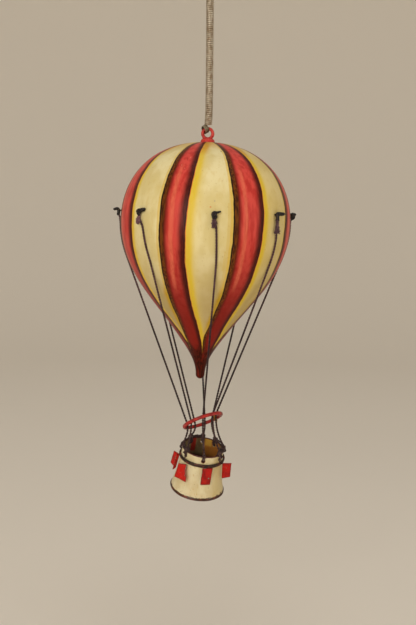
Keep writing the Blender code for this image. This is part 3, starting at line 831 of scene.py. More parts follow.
def spring_look():
    """Old drawn steel wire, grey-beige and dull, with painted shade in its grooves and in the eye loop."""
    look = Look("spring_steel", Metallic=0.55)
    tone = look.grain((1.5, 1.5, 3.0))
    fine = look.grain(0.25, 2.0, 0.5, 3.0)
    # groove: painted shade between the coils, where the wire faces the coil's axis
    groove = look.fade(look.value("reach"), COIL_RADIUS + 0.34 * MM, COIL_RADIUS + 0.08 * MM)
    colour = look.coats(
        look.mottled((198, 186, 166), (154, 136, 112), tone, 0.35, 0.65),
        ((96, 76, 56), look.fade(fine, 0.55, 0.7), 0.45),
        ((74, 52, 34), groove, 0.9),
        # painted shade round the loop in the eye
        ((112, 100, 74), look.near(eye_loop_centre(), (4.2, 4.2, 3.6), 0.75), 0.72),
        # near-black painted shade on the lining inside the loop
        ((10, 8, 6), look.value("hollow")))
    return look.done(colour, look.spread(tone, 0.34, 0.5), fine, 0.03)


def black_wire_look():
    look = Look("black_wire_paint", Specular_IOR_Level=0.3)
    tone = look.grain(0.9)
    colour = look.coats(look.mottled((23, 16, 14), (58, 40, 40), tone, 0.54, 0.72),
                        ((88, 72, 50), look.specks(0.8, 0.64, 0.72, 6.0)))
    return look.done(colour, look.spread(tone, 0.32, 0.6), tone, 0.12)


def thread_look():
    """Dark purple-brown twisted thread, painted paler where lit and darkest in the shade beside the cone."""
    look = Look("twine", Sheen_Weight=0.12, Sheen_Roughness=0.5, Specular_IOR_Level=0.15)
    tone = look.grain((1.6, 1.6, 2.4))
    fibre = look.grain((0.12, 0.12, 0.45), 2.0, 0.6, 2.0)
    height = look.add("SeparateXYZ", look.where, out="Z")

    def rise(low, high):
        return look.fade(height, ANCHOR_LEVEL + low, ANCHOR_LEVEL + high)

    # painted light by height: paler tones where the thread is lit over the belly, by the basket and near the
    # knots;
    lit_over_belly = look.mottled((80, 50, 55), (120, 88, 93), tone, 0.45, 0.7)
    # the darker base is left as painted shade beside the cone
    lit_by_basket = look.mottled((64, 43, 41), (100, 76, 72), tone, 0.45, 0.7)
    lit_by_knots = look.mottled((74, 50, 55), (118, 88, 94), tone, 0.42, 0.66)
    colour = look.coats(
        look.mottled((44, 27, 28), (72, 50, 50), tone, 0.45, 0.7),
        (lit_over_belly, rise(CONE_HEIGHT, CONE_HEIGHT + 30.0 * MM)),
        (lit_by_basket, rise(-120.0 * MM, -130.0 * MM)),
        (lit_by_knots, rise(-22.0 * MM, -6.0 * MM)),
        ((150, 108, 116), look.value("pale")),
        ((30, 17, 19), look.fade(fibre, 0.48, 0.62), 0.7))
    return look.done(colour, 0.85, fibre, 0.06)


def brass_look():
    look = Look("brass_braze", Metallic=0.7)
    tone = look.grain(1.2)
    colour = look.mottled((196, 150, 60), (140, 88, 24), tone, 0.4, 0.62)
    return look.done(colour, look.spread(tone, 0.3, 0.5), tone, 0.1)


def band_look():
    look = Look("band_paint", Specular_IOR_Level=0.3)
    tone = look.grain((1.6, 1.6, 0.8))
    colour = look.coats(look.mottled((58, 35, 22), (33, 20, 14), tone, 0.4, 0.6),
                        ((122, 42, 28), look.specks((2.8, 2.8, 0.9), 0.56, 0.68, 7.0), 0.8))
    return look.done(colour, look.spread(tone, 0.4, 0.6), tone, 0.1)


def plate_look():
    """Glossy red enamel on cut tin: darker corners, bare chips, pale scratches and painted light on some
    plates.
    """
    look = Look("plate_enamel", Specular_IOR_Level=0.2, Coat_Weight=0.1, Coat_Roughness=0.12)
    tone = look.grain((3.0, 3.0, 4.0))
    fine = look.grain(0.5, 3.0, 0.6, 5.0)
    uneven = look.sum(look.value("rim"), look.product(fine, 0.9))
    colour = look.coats(
        look.mottled((177, 19, 11), (138, 11, 7), tone, 0.38, 0.66),
        # painted light: some plates painted brighter, as if they caught more light
        ((216, 34, 20), look.value("bright")),
        ((104, 14, 12), look.fade(uneven, 1.15, 0.55), 0.6),
        ((214, 150, 110), look.specks((2.6, 2.6, 0.22), 0.68, 0.74, 11.0), 0.55),
        ((128, 120, 104), look.fade(uneven, 0.62, 0.5), look.specks(1.1, 0.52, 0.6, 15.0)))
    for name, (across, share, wide, high) in CHIPS.items():
        place = plate_point(name, across, share)
        colour = look.coats(colour,
                            ((66, 34, 30), look.near(place, (wide, 1.5, high), 0.7)),
                            ((132, 142, 122), look.near(place, (wide * 0.7, 1.5, high * 0.7), 0.6)))
    return look.done(colour, look.spread(fine, 0.2, 0.4), look.sum(tone, look.product(fine, 0.3)), 0.12)


def cream_look():
    """Cream paint on the basket: a painted hem, stains, chips, a dark inside, and painted shade in places.
    """
    look = Look("basket_paint", Specular_IOR_Level=0.3, Coat_Weight=0.06, Coat_Roughness=0.25)
    depth = look.value("depth")
    turn = look.value("azimuth")
    tone = look.grain((6.0, 6.0, 9.0))
    fine = look.grain((0.7, 0.7, 1.2), 3.0, 0.6, 2.0)
    foot = BASKET_HEIGHT / MM
    hem_depth = look.sum(depth, look.product(look.grain(1.6, 3.0, 0.6, 13.0), 1.5))
    hem_tone = look.grain((3.4, 3.4, 1.5), 2.0, 0.5, 17.0)
    hem = look.mottled((62, 36, 22), (112, 48, 30), hem_tone, 0.52, 0.64)
    outside = look.coats(
        look.mottled((221, 209, 170), (208, 190, 146), tone, 0.36, 0.66),
        # painted shade down the basket's right side
        ((196, 172, 104), look.band(turn, 50.0, 120.0, 25.0), 0.6),
        ((190, 144, 68), look.specks((2.0, 2.0, 3.4), 0.62, 0.72, 5.0), 0.4),
        ((120, 88, 52), look.specks((0.9, 0.9, 1.2), 0.67, 0.73, 8.0), 0.5),
        (hem, look.fade(hem_depth, foot - 1.2, foot - 0.8)),
        ((84, 48, 30), look.fade(depth, foot - 2.9, foot - 1.9),
         look.specks((2.6, 2.6, 1.2), 0.56, 0.60, 27.0)))
    inside = look.coats(
        look.mottled((142, 122, 86), (104, 84, 56), tone, 0.4, 0.64),
        ((172, 106, 34), look.band(turn, 128.0, 172.0, 9.0), look.spread(tone, 0.8, 1.1)),
        ((204, 160, 60), look.band(turn, 158.0, 171.0, 6.0), look.band(depth, 1.0, 4.4, 1.5), 0.75),
        # painted shade deep in the cup, in a dark red-brown
        ((74, 22, 16), look.fade(depth, 10.0, 15.0)),
        ((158, 28, 18), look.band(turn, 203.0, 216.0, 2.5), look.fade(depth, 11.0, 8.5)))
    lip_depth = look.sum(depth, look.product(look.grain(1.2, 3.0, 0.6, 23.0), 0.5))
    hole = rim_point(THREADS["front"][3], 0.0, HOLE_HEIGHT)
    colour = look.coats(
        outside,
        (inside, look.value("inner"), 0.97),
        ((74, 21, 15), look.fade(lip_depth, 1.15, 0.8)),
        # painted shade in and round the open front hole
        ((96, 26, 18), look.near(hole, (1.45, 3.0, 1.45), 0.82)))
    return look.done(colour, look.spread(fine, 0.3, 0.5), look.sum(tone, look.product(fine, 0.2)), 0.2)


def envelope_look():
    """Hand-painted gores. Distances are in mm: edge from the nearest boundary (above 0 in the yellow),
    left from a yellow gore's left edge (above 0 to its right), right from its right edge, up the height."""
    look = Look("gore_paint", Specular_IOR_Level=0.10, Coat_Weight=0.02, Coat_Roughness=0.2)
    jitter = look.spread(look.grain((1.4, 1.4, 5.0), 2.0, 0.5, 31.0), -0.3, 0.3)
    edge, left, right = (look.sum(look.value(name), jitter) for name in ("edge", "left", "right"))
    up = look.value("up")
    blotch = look.grain((14.0, 14.0, 18.0), 3.0, 0.5)
    streak = look.grain((0.9, 0.9, 11.0), 3.0, 0.6, 3.0)
    brush = look.grain((2.4, 2.4, 16.0), 3.0, 0.55, 7.0)
    fine = look.grain((0.5, 0.5, 0.9), 3.0, 0.6, 9.0)
    # low: rises towards the envelope's foot, where it darkens both paints as painted shade
    low = look.fade(up, -8.0, -66.0)
    by_left, by_right = (look.fade(side, -1.6, -1.2) for side in (left, right))
    off_left, off_right = (look.fade(side, 1.6, 1.2) for side in (left, right))
    inwards = look.product(left, look.value("narrow"))

    # the yellow gores, golden at their edges and darker low down as painted shade
    yellow = look.coats(
        look.mottled((227, 213, 162), (213, 195, 135), blotch, 0.38, 0.64),
        ((208, 178, 102), look.fade(brush, 0.5, 0.75), 0.3),
        ((176, 149, 92), low, 0.75),
        ((206, 172, 74), look.value("golden"), 0.55),
        ((222, 198, 96), look.fade(inwards, 9.5, 3.0), by_left, look.spread(brush, 0.5, 1.1), 0.45),
        ((218, 184, 28), look.fade(inwards, 6.0, 2.4), by_left, look.spread(streak, 0.7, 1.1), 0.92),
        ((204, 142, 34), look.fade(up, 31.0, 37.0), look.fade(left, 8.0, 3.5), by_left,
         look.spread(brush, 0.4, 1.1)),
        ((216, 118, 54), look.fade(left, 0.55, 0.25), by_left),
        ((214, 172, 40), look.band(right, -1.3, 0.3, 0.6), look.spread(streak, 0.2, 1.0), 0.85),
        ((190, 148, 28), look.band(up, -63.0, -46.0, 8.0), look.fade(right, -5.0, -1.6), off_right,
         look.spread(brush, 0.5, 1.1)),
        ((208, 156, 50), look.fade(up, 35.0, 39.5), 0.5),
        ((176, 138, 78), look.specks((0.8, 0.8, 1.0), 0.68, 0.74, 12.0), 0.55))

    # the red gores: the red with its pale middle, a brown strip, a dark right side and a black line
    brown = look.mottled((112, 60, 14), (62, 30, 8), streak, 0.38, 0.62)
    black = look.mottled((34, 21, 13), (78, 62, 46), up, 28.0, 36.0)
    red = look.coats(
        look.mottled((210, 74, 64), (190, 55, 47), brush, 0.4, 0.64),
        # painted shade on the red low down
        ((124, 22, 8), low, 0.92),
        # a pale streak down each red's middle: partly its airbrushed streak, partly a painted highlight
        ((228, 120, 88), look.band(right, 7.0, 7.9, 1.5), look.band(up, -36.0, 20.0, 10.0),
         look.spread(streak, 0.0, 0.9)),
        ((104, 26, 14), look.fade(right, 6.0, 3.0), by_right),
        (brown, look.fade(right, 3.9, 2.2), by_right),
        ((62, 18, 10), look.fade(left, -6.0, -1.6), off_left, look.spread(streak, 0.8, 1.1)),
        ((40, 14, 11), look.fade(left, -0.95, -0.7), off_left, 0.8),
        (black, look.fade(right, 0.95, 0.72), by_right))

    # the brushed foot of the cone, the red round the eye, and small dabs and scratches
    tail = look.coats(look.mottled((80, 19, 3), (46, 10, 1), streak, 0.4, 0.6),
                      ((136, 32, 18), look.fade(brush, 0.54, 0.7), 0.5))
    colour = look.coats(
        red,
        (yellow, look.fade(edge, -0.06, 0.06)),
        (tail, look.fade(look.sum(up, look.spread(brush, -4.0, 4.0)), -76.0, -83.0)),
        ((176, 50, 42), look.fade(look.sum(up, look.spread(fine, -0.25, 0.25)), 41.3, 41.5)))
    for azimuth, height, wide, high, tint in MARKS:
        place = envelope_frame() @ around(azimuth, radius_at(height * MM), height * MM)
        colour = look.coats(colour, (tint, look.near(place, (wide, 2.0, high), 0.4), 0.8))

    rough = look.spread(look.grain((5.0, 5.0, 9.0), 3.0, 0.6, 40.0), 0.26, 0.46)
    return look.done(colour, rough, look.sum(look.product(streak, 0.35), look.product(fine, 0.25)), 0.05)


# The envelope

def edge_azimuths(heights):
    """Each yellow gore's left and right edge azimuths at the heights, with a hand's wobble."""
    random = np.random.default_rng(7)
    levels = np.array(EDGE_LEVELS[::-1]) * MM
    knots = np.linspace(heights.min(), heights.max(), 26)
    radii = np.interp(heights, OUTLINE_HEIGHTS, OUTLINE_RADII)
    sides = []
    for side in (0, 1):
        edges = []
        for gore in GORES.values():
            steady = np.interp(heights, levels, np.array(gore[side][::-1]))
            wobble = np.interp(heights, knots, random.normal(0.0, 1.0, len(knots))) * EDGE_WOBBLE
            edges.append(steady + np.degrees(wobble / np.maximum(radii, 5.0 * MM)))
        sides.append(np.array(edges))
    return sides


def turn_between(first, second):
    """The turn from the second azimuth to the first, from -180 to 180."""
    return (first - second + 180.0) % 360.0 - 180.0


def make_envelope(material):
    outline = np.array(OUTLINE)
    radii, heights = outline[:, 0], outline[:, 1]
    step = 360.0 / ENVELOPE_COLUMNS
    columns = np.arange(ENVELOPE_COLUMNS) * step
    place = envelope_frame()
    points = []
    for radius, height in outline:
        for azimuth in columns:
            point = around(azimuth, radius, height)
            if radius:
                swell = noise.noise(point / DENT_SIZE) * DENT * min(radius / DENT_FADE, 1.0)
                point += Vector((point.x, point.y, 0.0)).normalized() * swell
            points.append(place @ point)
    row, column = np.divmod(np.arange((len(outline) - 1) * ENVELOPE_COLUMNS), ENVELOPE_COLUMNS)
    corner_rows = np.stack([row, row + 1, row + 1, row], axis=1)
    corner_columns = np.stack([column, column, column + 1, column + 1], axis=1)
    mesh = bpy.data.meshes.new("gores")
    faces = corner_rows * ENVELOPE_COLUMNS + corner_columns % ENVELOPE_COLUMNS
    mesh.from_pydata(points, [], faces.tolist())
    keep(mesh, "up", np.repeat(heights / MM, ENVELOPE_COLUMNS))

    # the signed distance to the nearest boundary, above 0 in the yellow
    lefts, rights = edge_azimuths(heights)
    into_left = turn_between(columns, lefts[:, :, None])
    into_right = turn_between(rights[:, :, None], columns)
    degrees = np.abs(np.concatenate([into_left, into_right])).min(axis=0)
    inside = np.minimum(into_left, into_right).max(axis=0) > 0.0
    arc = np.radians(1.0) * radii / MM
    keep(mesh, "edge", np.where(inside, degrees, -degrees) * arc[:, None])

    # the distances from one right and one left edge, each face keeping to its own edge
    stretch = 0.3 + 0.7 * radii / BELLY_RADIUS
    for name, edges in (("right", rights), ("left", lefts)):
        own = np.abs(turn_between((column + 0.5) * step, edges[:, row])).argmin(axis=0)
        measured = turn_between(corner_columns * step, edges[own[:, None], corner_rows])
        keep(mesh, name, measured * (arc / stretch)[corner_rows], "CORNER")
    for name, kinds in zip(("narrow", "golden"), zip(*GOLD.values())):
        keep(mesh, name, np.array(kinds)[own], "FACE")
    tidy_mesh(mesh)
    add_piece("envelope_gores", mesh, material, "balloon", ["envelope"])


# The eye and the spring

def eye_point(angle):
    """A point on the middle of the eye's wire."""
    return Vector((EYE_RADIUS * math.cos(angle), 0.0,
                   ANCHOR_LEVEL + EYE_HEIGHT + EYE_RADIUS * math.sin(angle)))


def eye_loop_centre():
    return eye_point(math.radians(90.0) + EYE_LOOP_ANGLE)


def make_eye(material):
    shape = Shape()
    ring = [eye_point(math.tau * step / EYE_STEPS) for step in range(EYE_STEPS)]
    shape.tube(ring, EYE_WIRE, sides=14, closed=True)
    foot = [(0.0, 0.2 * MM)] + [(EYE_FOOT_RADIUS * out, EYE_FOOT_HEIGHT * up) for out, up in EYE_FOOT]
    shape.turned(foot, 40, Matrix.Translation((0.0, 0.0, ANCHOR_LEVEL + CROWN_HEIGHT)))
    shape.roughen(amount=0.16 * MM, size=1.1 * MM)
    add_part("eye_ring", shape, material, "crown_eye")


def hermite(start, leave, stop, arrive, steps):
    """Points on a curve from start to stop that leaves and arrives in the given directions."""
    places = bezier(start, start + leave / 3.0, stop - arrive / 3.0, stop, steps)
    return [Vector(place) for place in places]


def spring_bow(height):
    """How far the hanging coil's middle stands to the right at a height."""
    above = max(height - ANCHOR_LEVEL - SPRING_BOTTOM, 0.0)
    share = min(above / -(ANCHOR_LEVEL + SPRING_BOTTOM), 1.0)
    return SPRING_BOW * (1.0 - math.exp(-above / SPRING_BEND)) * (1.0 - 0.8 * share ** 2)


def make_spring(material):
    """One wire: the loop in the eye, the close coils, and the loop at the top."""
    bottom = ANCHOR_LEVEL + SPRING_BOTTOM
    held = eye_loop_centre()
    along = Vector((math.cos(EYE_LOOP_ANGLE), math.tan(EYE_LOOP_TURN), math.sin(EYE_LOOP_ANGLE)))
    along.normalize()
    above = Vector((-math.sin(EYE_LOOP_ANGLE), 0.0, math.cos(EYE_LOOP_ANGLE)))
    front = along.cross(above)

    def wound(shift, turn, radius):
        """A point of the loop round the eye's wire."""
        around_wire = (above * math.cos(turn) + front * math.sin(turn)) * radius
        return held + along * shift * EYE_LOOP_SPREAD + around_wire

    steps = int(EYE_LOOP_TURNS * EYE_LOOP_STEPS)
    loop = [wound(0.5 - step / steps, math.tau * step / EYE_LOOP_STEPS, EYE_LOOP_RADIUS)
            for step in range(steps + 1)]
    helix = []
    for step in range(SPRING_TURNS * COIL_STEPS + 1):
        turn = math.pi + math.tau * step / COIL_STEPS
        height = bottom + SPRING_WIRE + SPRING_PITCH * step / COIL_STEPS * (1.0 - 1.0 / SPRING_TURNS)
        helix.append(Vector((COIL_RADIUS * math.cos(turn) + spring_bow(height),
                             COIL_RADIUS * math.sin(turn), height)))
    neck = hermite(helix[0], Vector((0.0, 1.0, -0.9)) * EYE_LOOP_NECK, loop[0], front * EYE_LOOP_NECK, 12)
    top = []
    for step in range(TOP_LOOP_STEPS + 1):
        share = step / TOP_LOOP_STEPS
        angle = math.radians(TOP_LOOP_START + TOP_LOOP_SWEEP * share)
        top.append(Vector((TOP_LOOP_RADIUS * math.cos(angle), TOP_LOOP_LEAN * (2.0 * share - 1.0),
                           SPRING_WIRE - TOP_LOOP_RADIUS + TOP_LOOP_RADIUS * math.sin(angle))))
    last = (helix[-1] - helix[-2]).normalized()
    link = hermite(helix[-1], last * 2.6 * MM, top[0], (top[1] - top[0]).normalized() * 3.0 * MM, 7)
    route = loop[::-1] + neck[::-1][:-1] + helix + link[1:] + top
    thicker = np.linspace(EYE_LOOP_WIRE, SPRING_WIRE, len(neck) - 1)
    radii = np.full(len(route), SPRING_WIRE)
    radii[:len(loop)] = EYE_LOOP_WIRE
    radii[len(loop):len(loop) + len(thicker)] = thicker
    shape = Shape()
    shape.tube(route, radii, sides=9)
    shape.values["reach"] = [math.hypot(x - spring_bow(z), y) for x, y, z in shape.points]

    # a near-black lining inside the loop, as painted shade
    turns = np.linspace(0.0, math.tau, 24, endpoint=False)
    shade_lining = [[wound(shift, turn, EYE_LOOP_RADIUS - EYE_LOOP_WIRE * inset) for turn in turns]
              for shift, inset in ((-0.52, 0.4), (0.42, 0.4), (0.42, 0.8), (-0.52, 0.8))]
    shape.grid(shade_lining, closed_along=True, hollow=1.0)
    add_piece("spring", mesh_of("spring", shape, 80.0), material, "hanger", ["hanger_spring"])


# Hooks, knots and threads

def make_hook(name, black, twine, random):
    """A bent black hook, and the thread that is wound and knotted below it."""
    azimuth = HOOKS[name][0]

    def route(points, steps):
        return smooth_route([hook_place(azimuth, point) for point in points], steps)

    hook = Shape()
    for radii, points in HOOK_BENDS[name]:
        wire = route(points, 9)
        thick = np.interp(np.linspace(0.0, 1.0, len(wire)), (0.0, 0.5, 1.0), radii) * MM
        hook.tube(wire, thick * (1.0 + random.uniform(-0.07, 0.07, len(wire))), sides=12)
    hook.roughen(amount=0.20 * MM, size=0.8 * MM)
    add_part("hook_wire_" + name, hook, black, "hook_" + name)

    knot = Shape()
    pale = PALE_KNOTS.get(name, 0.0)
    for side, out, top, foot, top_width, foot_width in KNOT_WINDINGS[name]:
        place = facing(hook_place(azimuth, (side, out, (top + foot) / 2.0)), azimuth)
        half = (top - foot) / 2.0
        width = (top_width + foot_width) / 2.0
        knot.blob(place, Vector((width * 0.72, width * 0.6, half)) * MM, azimuth, 0.2, pale=pale)
        wound = []
        steps = max(half * 2.0 / WINDING_PITCH, 1.5) * WINDING_STEPS
        for step in range(int(steps) + 1):
            share = step / steps
            wide = top_width + (foot_width - top_width) * share - 0.3
            wide *= 1.0 + 0.12 * math.sin(share * 9.0 + azimuth)
            bend = math.tau * step / WINDING_STEPS
            rise = half * (0.9 - 1.8 * share) + 0.3 * math.cos(bend)
            wound.append(place @ (Vector((wide * math.cos(bend), 0.8 * wide * math.sin(bend), rise)) * MM))
        knot.thread(wound, THREAD * 0.75, pale=pale)
        for edge in (-1.0, 1.0) if name in LOOSE_ENDS else ():
            start = place @ (Vector((edge * foot_width * 0.6, -0.3, -half * 0.7)) * MM)
            droop = Vector((edge * random.uniform(0.5, 0.9), -0.3, -random.uniform(0.5, 1.2))) * MM
            end = start + place.to_3x3() @ droop
            knot.thread([start, start.lerp(end, 0.5), end], THREAD * 0.5, pale=pale)
    for points in KNOT_LOOPS.get(name, ()):
        knot.thread(route(points, 8), THREAD * 0.7, pale=pale)
    add_part("knot_winding_" + name, knot, twine, "knot_" + name)


def taut(points, stop):
    """The stretch of the points that a thread pulled tight from the first to the stop touches."""
    route = [points[0]]
    rest = points[1:] + [stop]
    while route[-1] is not stop:
        here = route[-1]
        steepest = max(range(len(rest)),
                       key=lambda index: (rest[index][0] - here[0]) / (here[1] - rest[index][1]))
        route.append(rest[steepest])
        rest = rest[steepest + 1:]
    return route


def make_thread(name, twine):
    """A thread pulled tight from its knot, through the load ring, to its lashing."""
    hook_azimuth, free, leave = HOOKS[name]
    top_azimuth, cone_azimuth, ring_azimuth, rim_azimuth = THREADS[name]
    first = free * MM
    near = [(radius_at(height) + THREAD_CLEARANCE, height)
            for height in np.linspace(first, CONE_HEIGHT, THREAD_STEPS + 1)]
    in_ring = ring_frame() @ around(ring_azimuth, RING_RADIUS - RING_WIRE - 1.2 * GAP - THREAD, 0.0)
    local = envelope_frame().inverted() @ in_ring
    route = [hook_place(hook_azimuth, leave)]
    for radius, height in taut(near, (local.xy.length, local.z))[:-1]:
        fade = (height - CONE_HEIGHT) / (first - CONE_HEIGHT)
        azimuth = cone_azimuth + (top_azimuth - cone_azimuth) * fade
        route.append(envelope_frame() @ around(azimuth, radius, height))
    end = rim_point(rim_azimuth, 0.0, LASHING_TOP)
    for share in (0.0, 0.3, 0.55, 0.75, 0.9, 1.0):
        spot = in_ring.lerp(end, share ** THREAD_HANG)
        spot.z = in_ring.z + (end.z - in_ring.z) * share
        route.append(spot)
    shape = Shape()
    shape.thread(eased(route), phase=top_azimuth)
    add_part("twine_" + name, shape, twine, "thread_" + name, 80.0)


def make_lashing(name, twine, random):
    """Turns of thread over the rim and through its hole, with a lump, rim runs and loose ends."""
    azimuth = THREADS[name][3]
    turns, lump, ends, runs = LASHINGS[name]
    beside = (TIN / 2 + GAP + THREAD * 0.95) / MM
    shape = Shape()
    for turn, offset in enumerate(turns):
        lift = random.uniform(-0.1, 0.3)
        spots = ((-beside - 0.2, LASHING_INSIDE, 0.3), (-beside, -0.7, 1.0), (0.0, 0.8 + lift, 1.0),
                 (beside, -0.7, 1.0), (beside, HOLE_HEIGHT + 1.3, 0.5), (-0.2, HOLE_HEIGHT + 0.9, 0.0))
        route = [rim_point(azimuth + offset * spread + random.uniform(-0.6, 0.6), out, height)
                 for out, height, spread in spots]
        shape.thread(smooth_route(route, 8), THREAD * 0.95, phase=turn * 2.0)
    if lump:
        heart = facing(rim_point(azimuth, 0.0, 0.7), azimuth)
        shape.blob(heart, Vector((1.3, 1.0, 1.1)) * lump * MM, azimuth, 0.4)
        wound = []
        for step in range(LUMP_WINDING_STEPS):
            bend = math.tau * step / WINDING_STEPS
            spot = Vector((1.3 * lump * math.cos(bend), 1.05 * lump * math.sin(bend), 1.1 - step * 0.04))
            wound.append(heart @ (spot * MM))
        shape.thread(wound, THREAD * 0.9)
    if name not in OPEN_HOLES:
        plug = facing(rim_point(azimuth, -0.1, HOLE_HEIGHT), azimuth)
        shape.blob(plug, Vector((0.95, 0.45, 0.95)) * MM, azimuth, 0.2)
    for swing, out, length in ends:
        spots = [rim_point(azimuth + swing * share, out * min(1.0, 0.3 + share), 0.6 - length * share)
                 for share in (0.0, 0.35, 0.7, 1.0)]
        shape.thread(smooth_route(spots, 6), THREAD * 0.7)
    for phase, (reach, out, height) in enumerate(runs):
        spots = []
        for share in np.linspace(0.0, 1.0, 9):
            bow = math.sin(math.pi * share)
            rise = 0.9 + (height - 0.9) * bow + random.uniform(-0.15, 0.15)
            spots.append(rim_point(azimuth + reach * share, out * bow, rise))
        shape.thread(smooth_route(spots, 6), THREAD * 0.9, phase=float(phase))
    add_part("lashing_turns_" + name, shape, twine, "lashing_" + name)


# The load ring, the basket and its plates

def make_ring(red, brass):
    route = []
    radii = []
    for step in range(RING_STEPS):
        azimuth = step * 360.0 / RING_STEPS
        angle = math.radians(azimuth)
        swell = noise.noise(Vector((math.cos(angle), math.sin(angle), 2.0)) * 2.0)
        route.append(ring_frame() @ around(azimuth, RING_RADIUS + RING_SWELL * swell, RING_WARP * swell))
        uneven = 0.06 * noise.noise(Vector((azimuth / 9.0, 0.0, 0.0)))
        radii.append(RING_WIRE * (1.05 + RING_ENDS_THICKER * math.sin(angle) ** 8 + uneven))
    shape = Shape()
    shape.tube(route, radii, sides=14, closed=True)
    shape.roughen(amount=0.12 * MM, size=0.6 * MM)
    add_part("ring_wire", shape, red, "load_ring")
    lump = Shape()
    inside = around(BRAZE_AZIMUTH, RING_RADIUS - RING_WIRE - BRAZE_SIZE.y * 0.7, 0.0)
    lump.blob(ring_frame() @ facing(inside, BRAZE_AZIMUTH), BRAZE_SIZE * 1.1, 3.0, 0.35)
    add_part("braze_lump", lump, brass, "ring_braze")


def make_basket(material):
    """The flared cup with its rolled rim, hem, floor and thread holes."""
    depths = np.linspace(0.8, BASKET_HEIGHT / MM - 1.6, 34) * MM
    outside = [(RIM_RADIUS - TIN * 0.5, 0.0), (RIM_RADIUS - TIN * 0.18, -0.08 * MM),
               (RIM_RADIUS, -0.32 * MM)]
    outside += [(wall_radius(depth), -depth) for depth in depths]
    hem = BASE_RADIUS - 0.45 * MM
    for step in range(9):
        angle = math.radians(60.0 - 22.5 * step)
        rise = HEM_RADIUS * (math.sin(angle) + 0.9)
        outside.append((hem + HEM_RADIUS * math.cos(angle), rise - BASKET_HEIGHT))
    floor = FLOOR_INSET - BASKET_HEIGHT
    outside += [(hem - 1.1 * MM, floor), (0.0, floor)]
    inside = [(0.0, floor + TIN), (BASE_RADIUS - TIN - 0.8 * MM, floor + TIN)]
    inside += [(wall_radius(depth) - TIN, -depth) for depth in depths[::-1]]
    inside += [(RIM_RADIUS - TIN, -0.32 * MM), (RIM_RADIUS - TIN * 0.82, -0.08 * MM)]
    inner = [0.0] * len(outside) + [1.0] * (len(inside) - 2) + [0.5, 0.2]
    azimuths = np.arange(BASKET_SIDES) * 360.0 / BASKET_SIDES
    rows = []
    for radius, height in outside + inside:
        row = []
        for azimuth in azimuths:
            point = around(azimuth, radius, height)
            sag = noise.noise(point / BASKET_DENT_SIZE) * BASKET_DENT * min(radius / RIM_RADIUS, 1.0)
            row.append(basket_frame() @ (point + around(azimuth, sag, 0.0)))
        rows.append(row)
    shape = Shape()
    shape.grid(rows, closed_along=True, depth=[[-height / MM] for radius, height in outside + inside],
               inner=np.array(inner)[:, None], azimuth=azimuths[None, :])
    cup = add_part("basket_tin", shape, material, "basket_cup")
    drills = []
    for name, azimuths in THREADS.items():
        drill = Shape()
        centre = around(azimuths[-1], RIM_RADIUS, -HOLE_DEPTH)
        out = around(azimuths[-1], 2.4 * TIN, 0.0)
        drill.tube([basket_frame() @ (centre - out), basket_frame() @ (centre + out)], HOLE_RADIUS, sides=16)
        tool = new_object("drill_" + name, mesh_of("drill_" + name, drill))
        cut = cup.modifiers.new(name, "BOOLEAN")
        cut.operation = "DIFFERENCE"
        cut.object = tool
        drills.append(tool)
    drilled = applied(cup)
    for tool in drills:
        bpy.data.objects.remove(tool)
    shade(drilled, 50.0)


def make_band(material):
    rows = []
    for step in range(BASKET_SIDES):
        azimuth = step * 360.0 / BASKET_SIDES
        swell = noise.noise(around(azimuth, 1.6, 5.0))
        middle = RIM_RADIUS + BAND_HALF_THICKNESS + 0.15 * MM + 0.1 * MM * swell
        high = BAND_HALF_HEIGHT * (1.0 + 0.16 * noise.noise(around(azimuth, 4.0, 1.0)))
        row = []
        for bend in range(14):
            angle = math.tau * bend / 14
            height = 0.2 * MM * swell - COLLAR_HEIGHT - high * math.sin(angle)
            out = middle + BAND_HALF_THICKNESS * math.cos(angle)
            row.append(basket_frame() @ around(azimuth, out, height))
        rows.append(row)
    shape = Shape()
    shape.grid(rows, closed_along=True)
    shape.roughen(amount=0.08 * MM, size=0.9 * MM)
    add_part("band_rope", shape, material, "basket_band")


PLATE_ROWS = 20
PLATE_COLUMNS = 13
# How much painted light brightens each plate's red
PLATE_PAINTED_LIGHT = {"left": 0.5, "far_left": 0.2, "right": 0.1}
PLATE_WAVES = {"left": 0.4}
PLATE_LIFT = {"right": 0.8 * MM, "front": 0.4 * MM}

# The chips in the plates' paint: across and down the plate from 0 to 1, and half sizes in mm
CHIPS = {
    "front": (0.76, 0.62, 0.55, 0.65),
    "left": (0.86, 0.66, 0.35, 0.35),
    "right": (0.5, 0.32, 0.3, 0.3),
}


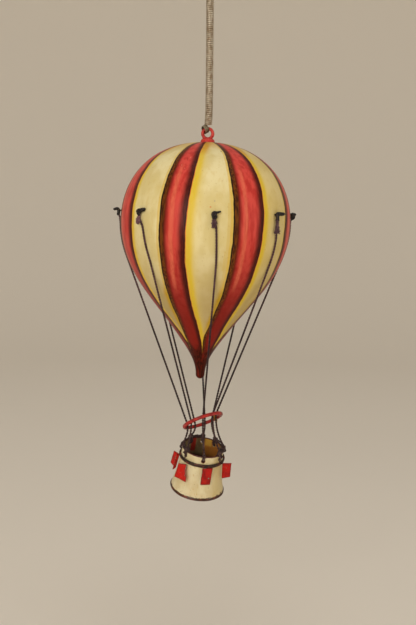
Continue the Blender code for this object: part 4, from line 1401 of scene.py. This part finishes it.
def plate_point(name, across, share):
    """A point on a plate, from 0 to 1 across and down it, with its worked edges and buckles."""
    azimuth, turn, flare, *cut = PLATES[name]
    upper_left, upper_right, lower_left, lower_right = (Vector(corner) * MM for corner in cut)
    top = COLLAR_HEIGHT + BAND_HALF_HEIGHT + GAP - PLATE_LIFT.get(name, 0.0)
    left_edge = upper_left.lerp(lower_left, share)
    right_edge = upper_right.lerp(lower_right, share)
    sideways, down = left_edge.lerp(right_edge, across)
    sideways += PLATE_WAVES.get(name, 0.0) * MM * across * math.sin(8.5 * share + 1.0)
    out = wall_radius(top + down) + GAP + PLATE_THICKNESS + math.tan(math.radians(flare)) * down
    lift = abs(sideways * math.sin(math.radians(turn)))
    flat = sideways * math.cos(math.radians(turn))
    sag = (out - math.sqrt(out ** 2 - flat ** 2)) * PLATE_ROUNDING
    curl = PLATE_CURL * max(0.0, 1.0 - plate_rim(name, across, share) / 1.1) ** 2
    place = around(azimuth, out + lift - sag, -top - down) + sideways_at(azimuth) * flat
    buckle = noise.noise(place / PLATE_BUCKLE_SIZE) * PLATE_BUCKLE
    return basket_frame() @ (place + around(azimuth + turn, 1.0, 0.0) * (curl + buckle))


def plate_rim(name, across, share):
    """How far a place on a plate is from the plate's nearest edge, in mm."""
    upper_left, upper_right, lower_left, lower_right = (Vector(corner) for corner in PLATES[name][3:])
    width = (upper_right.lerp(lower_right, share) - upper_left.lerp(lower_left, share)).length
    return min(across * width, (1.0 - across) * width, share * PLATE_LENGTH, (1.0 - share) * PLATE_LENGTH)


def make_plate(name, material):
    """A thin bent plate with worked edges."""
    marks = np.linspace(0.0, 1.0, PLATE_COLUMNS + 1)
    shares = np.linspace(0.0, 1.0, PLATE_ROWS + 1)
    rows, rims = ([[measure(name, across, share) for across in marks] for share in shares]
                  for measure in (plate_point, plate_rim))
    shape = Shape()
    shape.grid(rows, closed_across=False, rim=rims, bright=PLATE_PAINTED_LIGHT.get(name, 0.0))
    plate = add_part("plate_tin_" + name, shape, material, "plate_" + name)
    thicken = plate.modifiers.new("tin", "SOLIDIFY")
    thicken.thickness = PLATE_THICKNESS
    thicken.offset = 0.0
    soften = plate.modifiers.new("soften", "BEVEL")
    soften.width = PLATE_BEVEL
    soften.segments = 2
    soften.limit_method = "ANGLE"
    soften.angle_limit = math.radians(50.0)
    shade(applied(plate), 60.0)


def main():
    make_camera()
    make_stage()
    make_lights()
    eye_red = red_wire_look("eye_enamel", (204, 56, 46), (160, 30, 24), (112, 20, 16))
    ring_red = red_wire_look("ring_enamel", (178, 38, 32), (132, 18, 14), (80, 12, 10),
                             [ring_frame() @ around(side, RING_RADIUS, 0.0) for side in (-90.0, 90.0)])
    twine = thread_look()
    black = black_wire_look()
    plate = plate_look()
    make_envelope(envelope_look())
    make_eye(eye_red)
    make_spring(spring_look())
    random = np.random.default_rng(3)
    for name in HOOKS:
        make_hook(name, black, twine, random)
        make_thread(name, twine)
        make_lashing(name, twine, random)
    make_ring(ring_red, brass_look())
    make_basket(cream_look())
    make_band(band_look())
    for name in PLATES:
        make_plate(name, plate)


main()
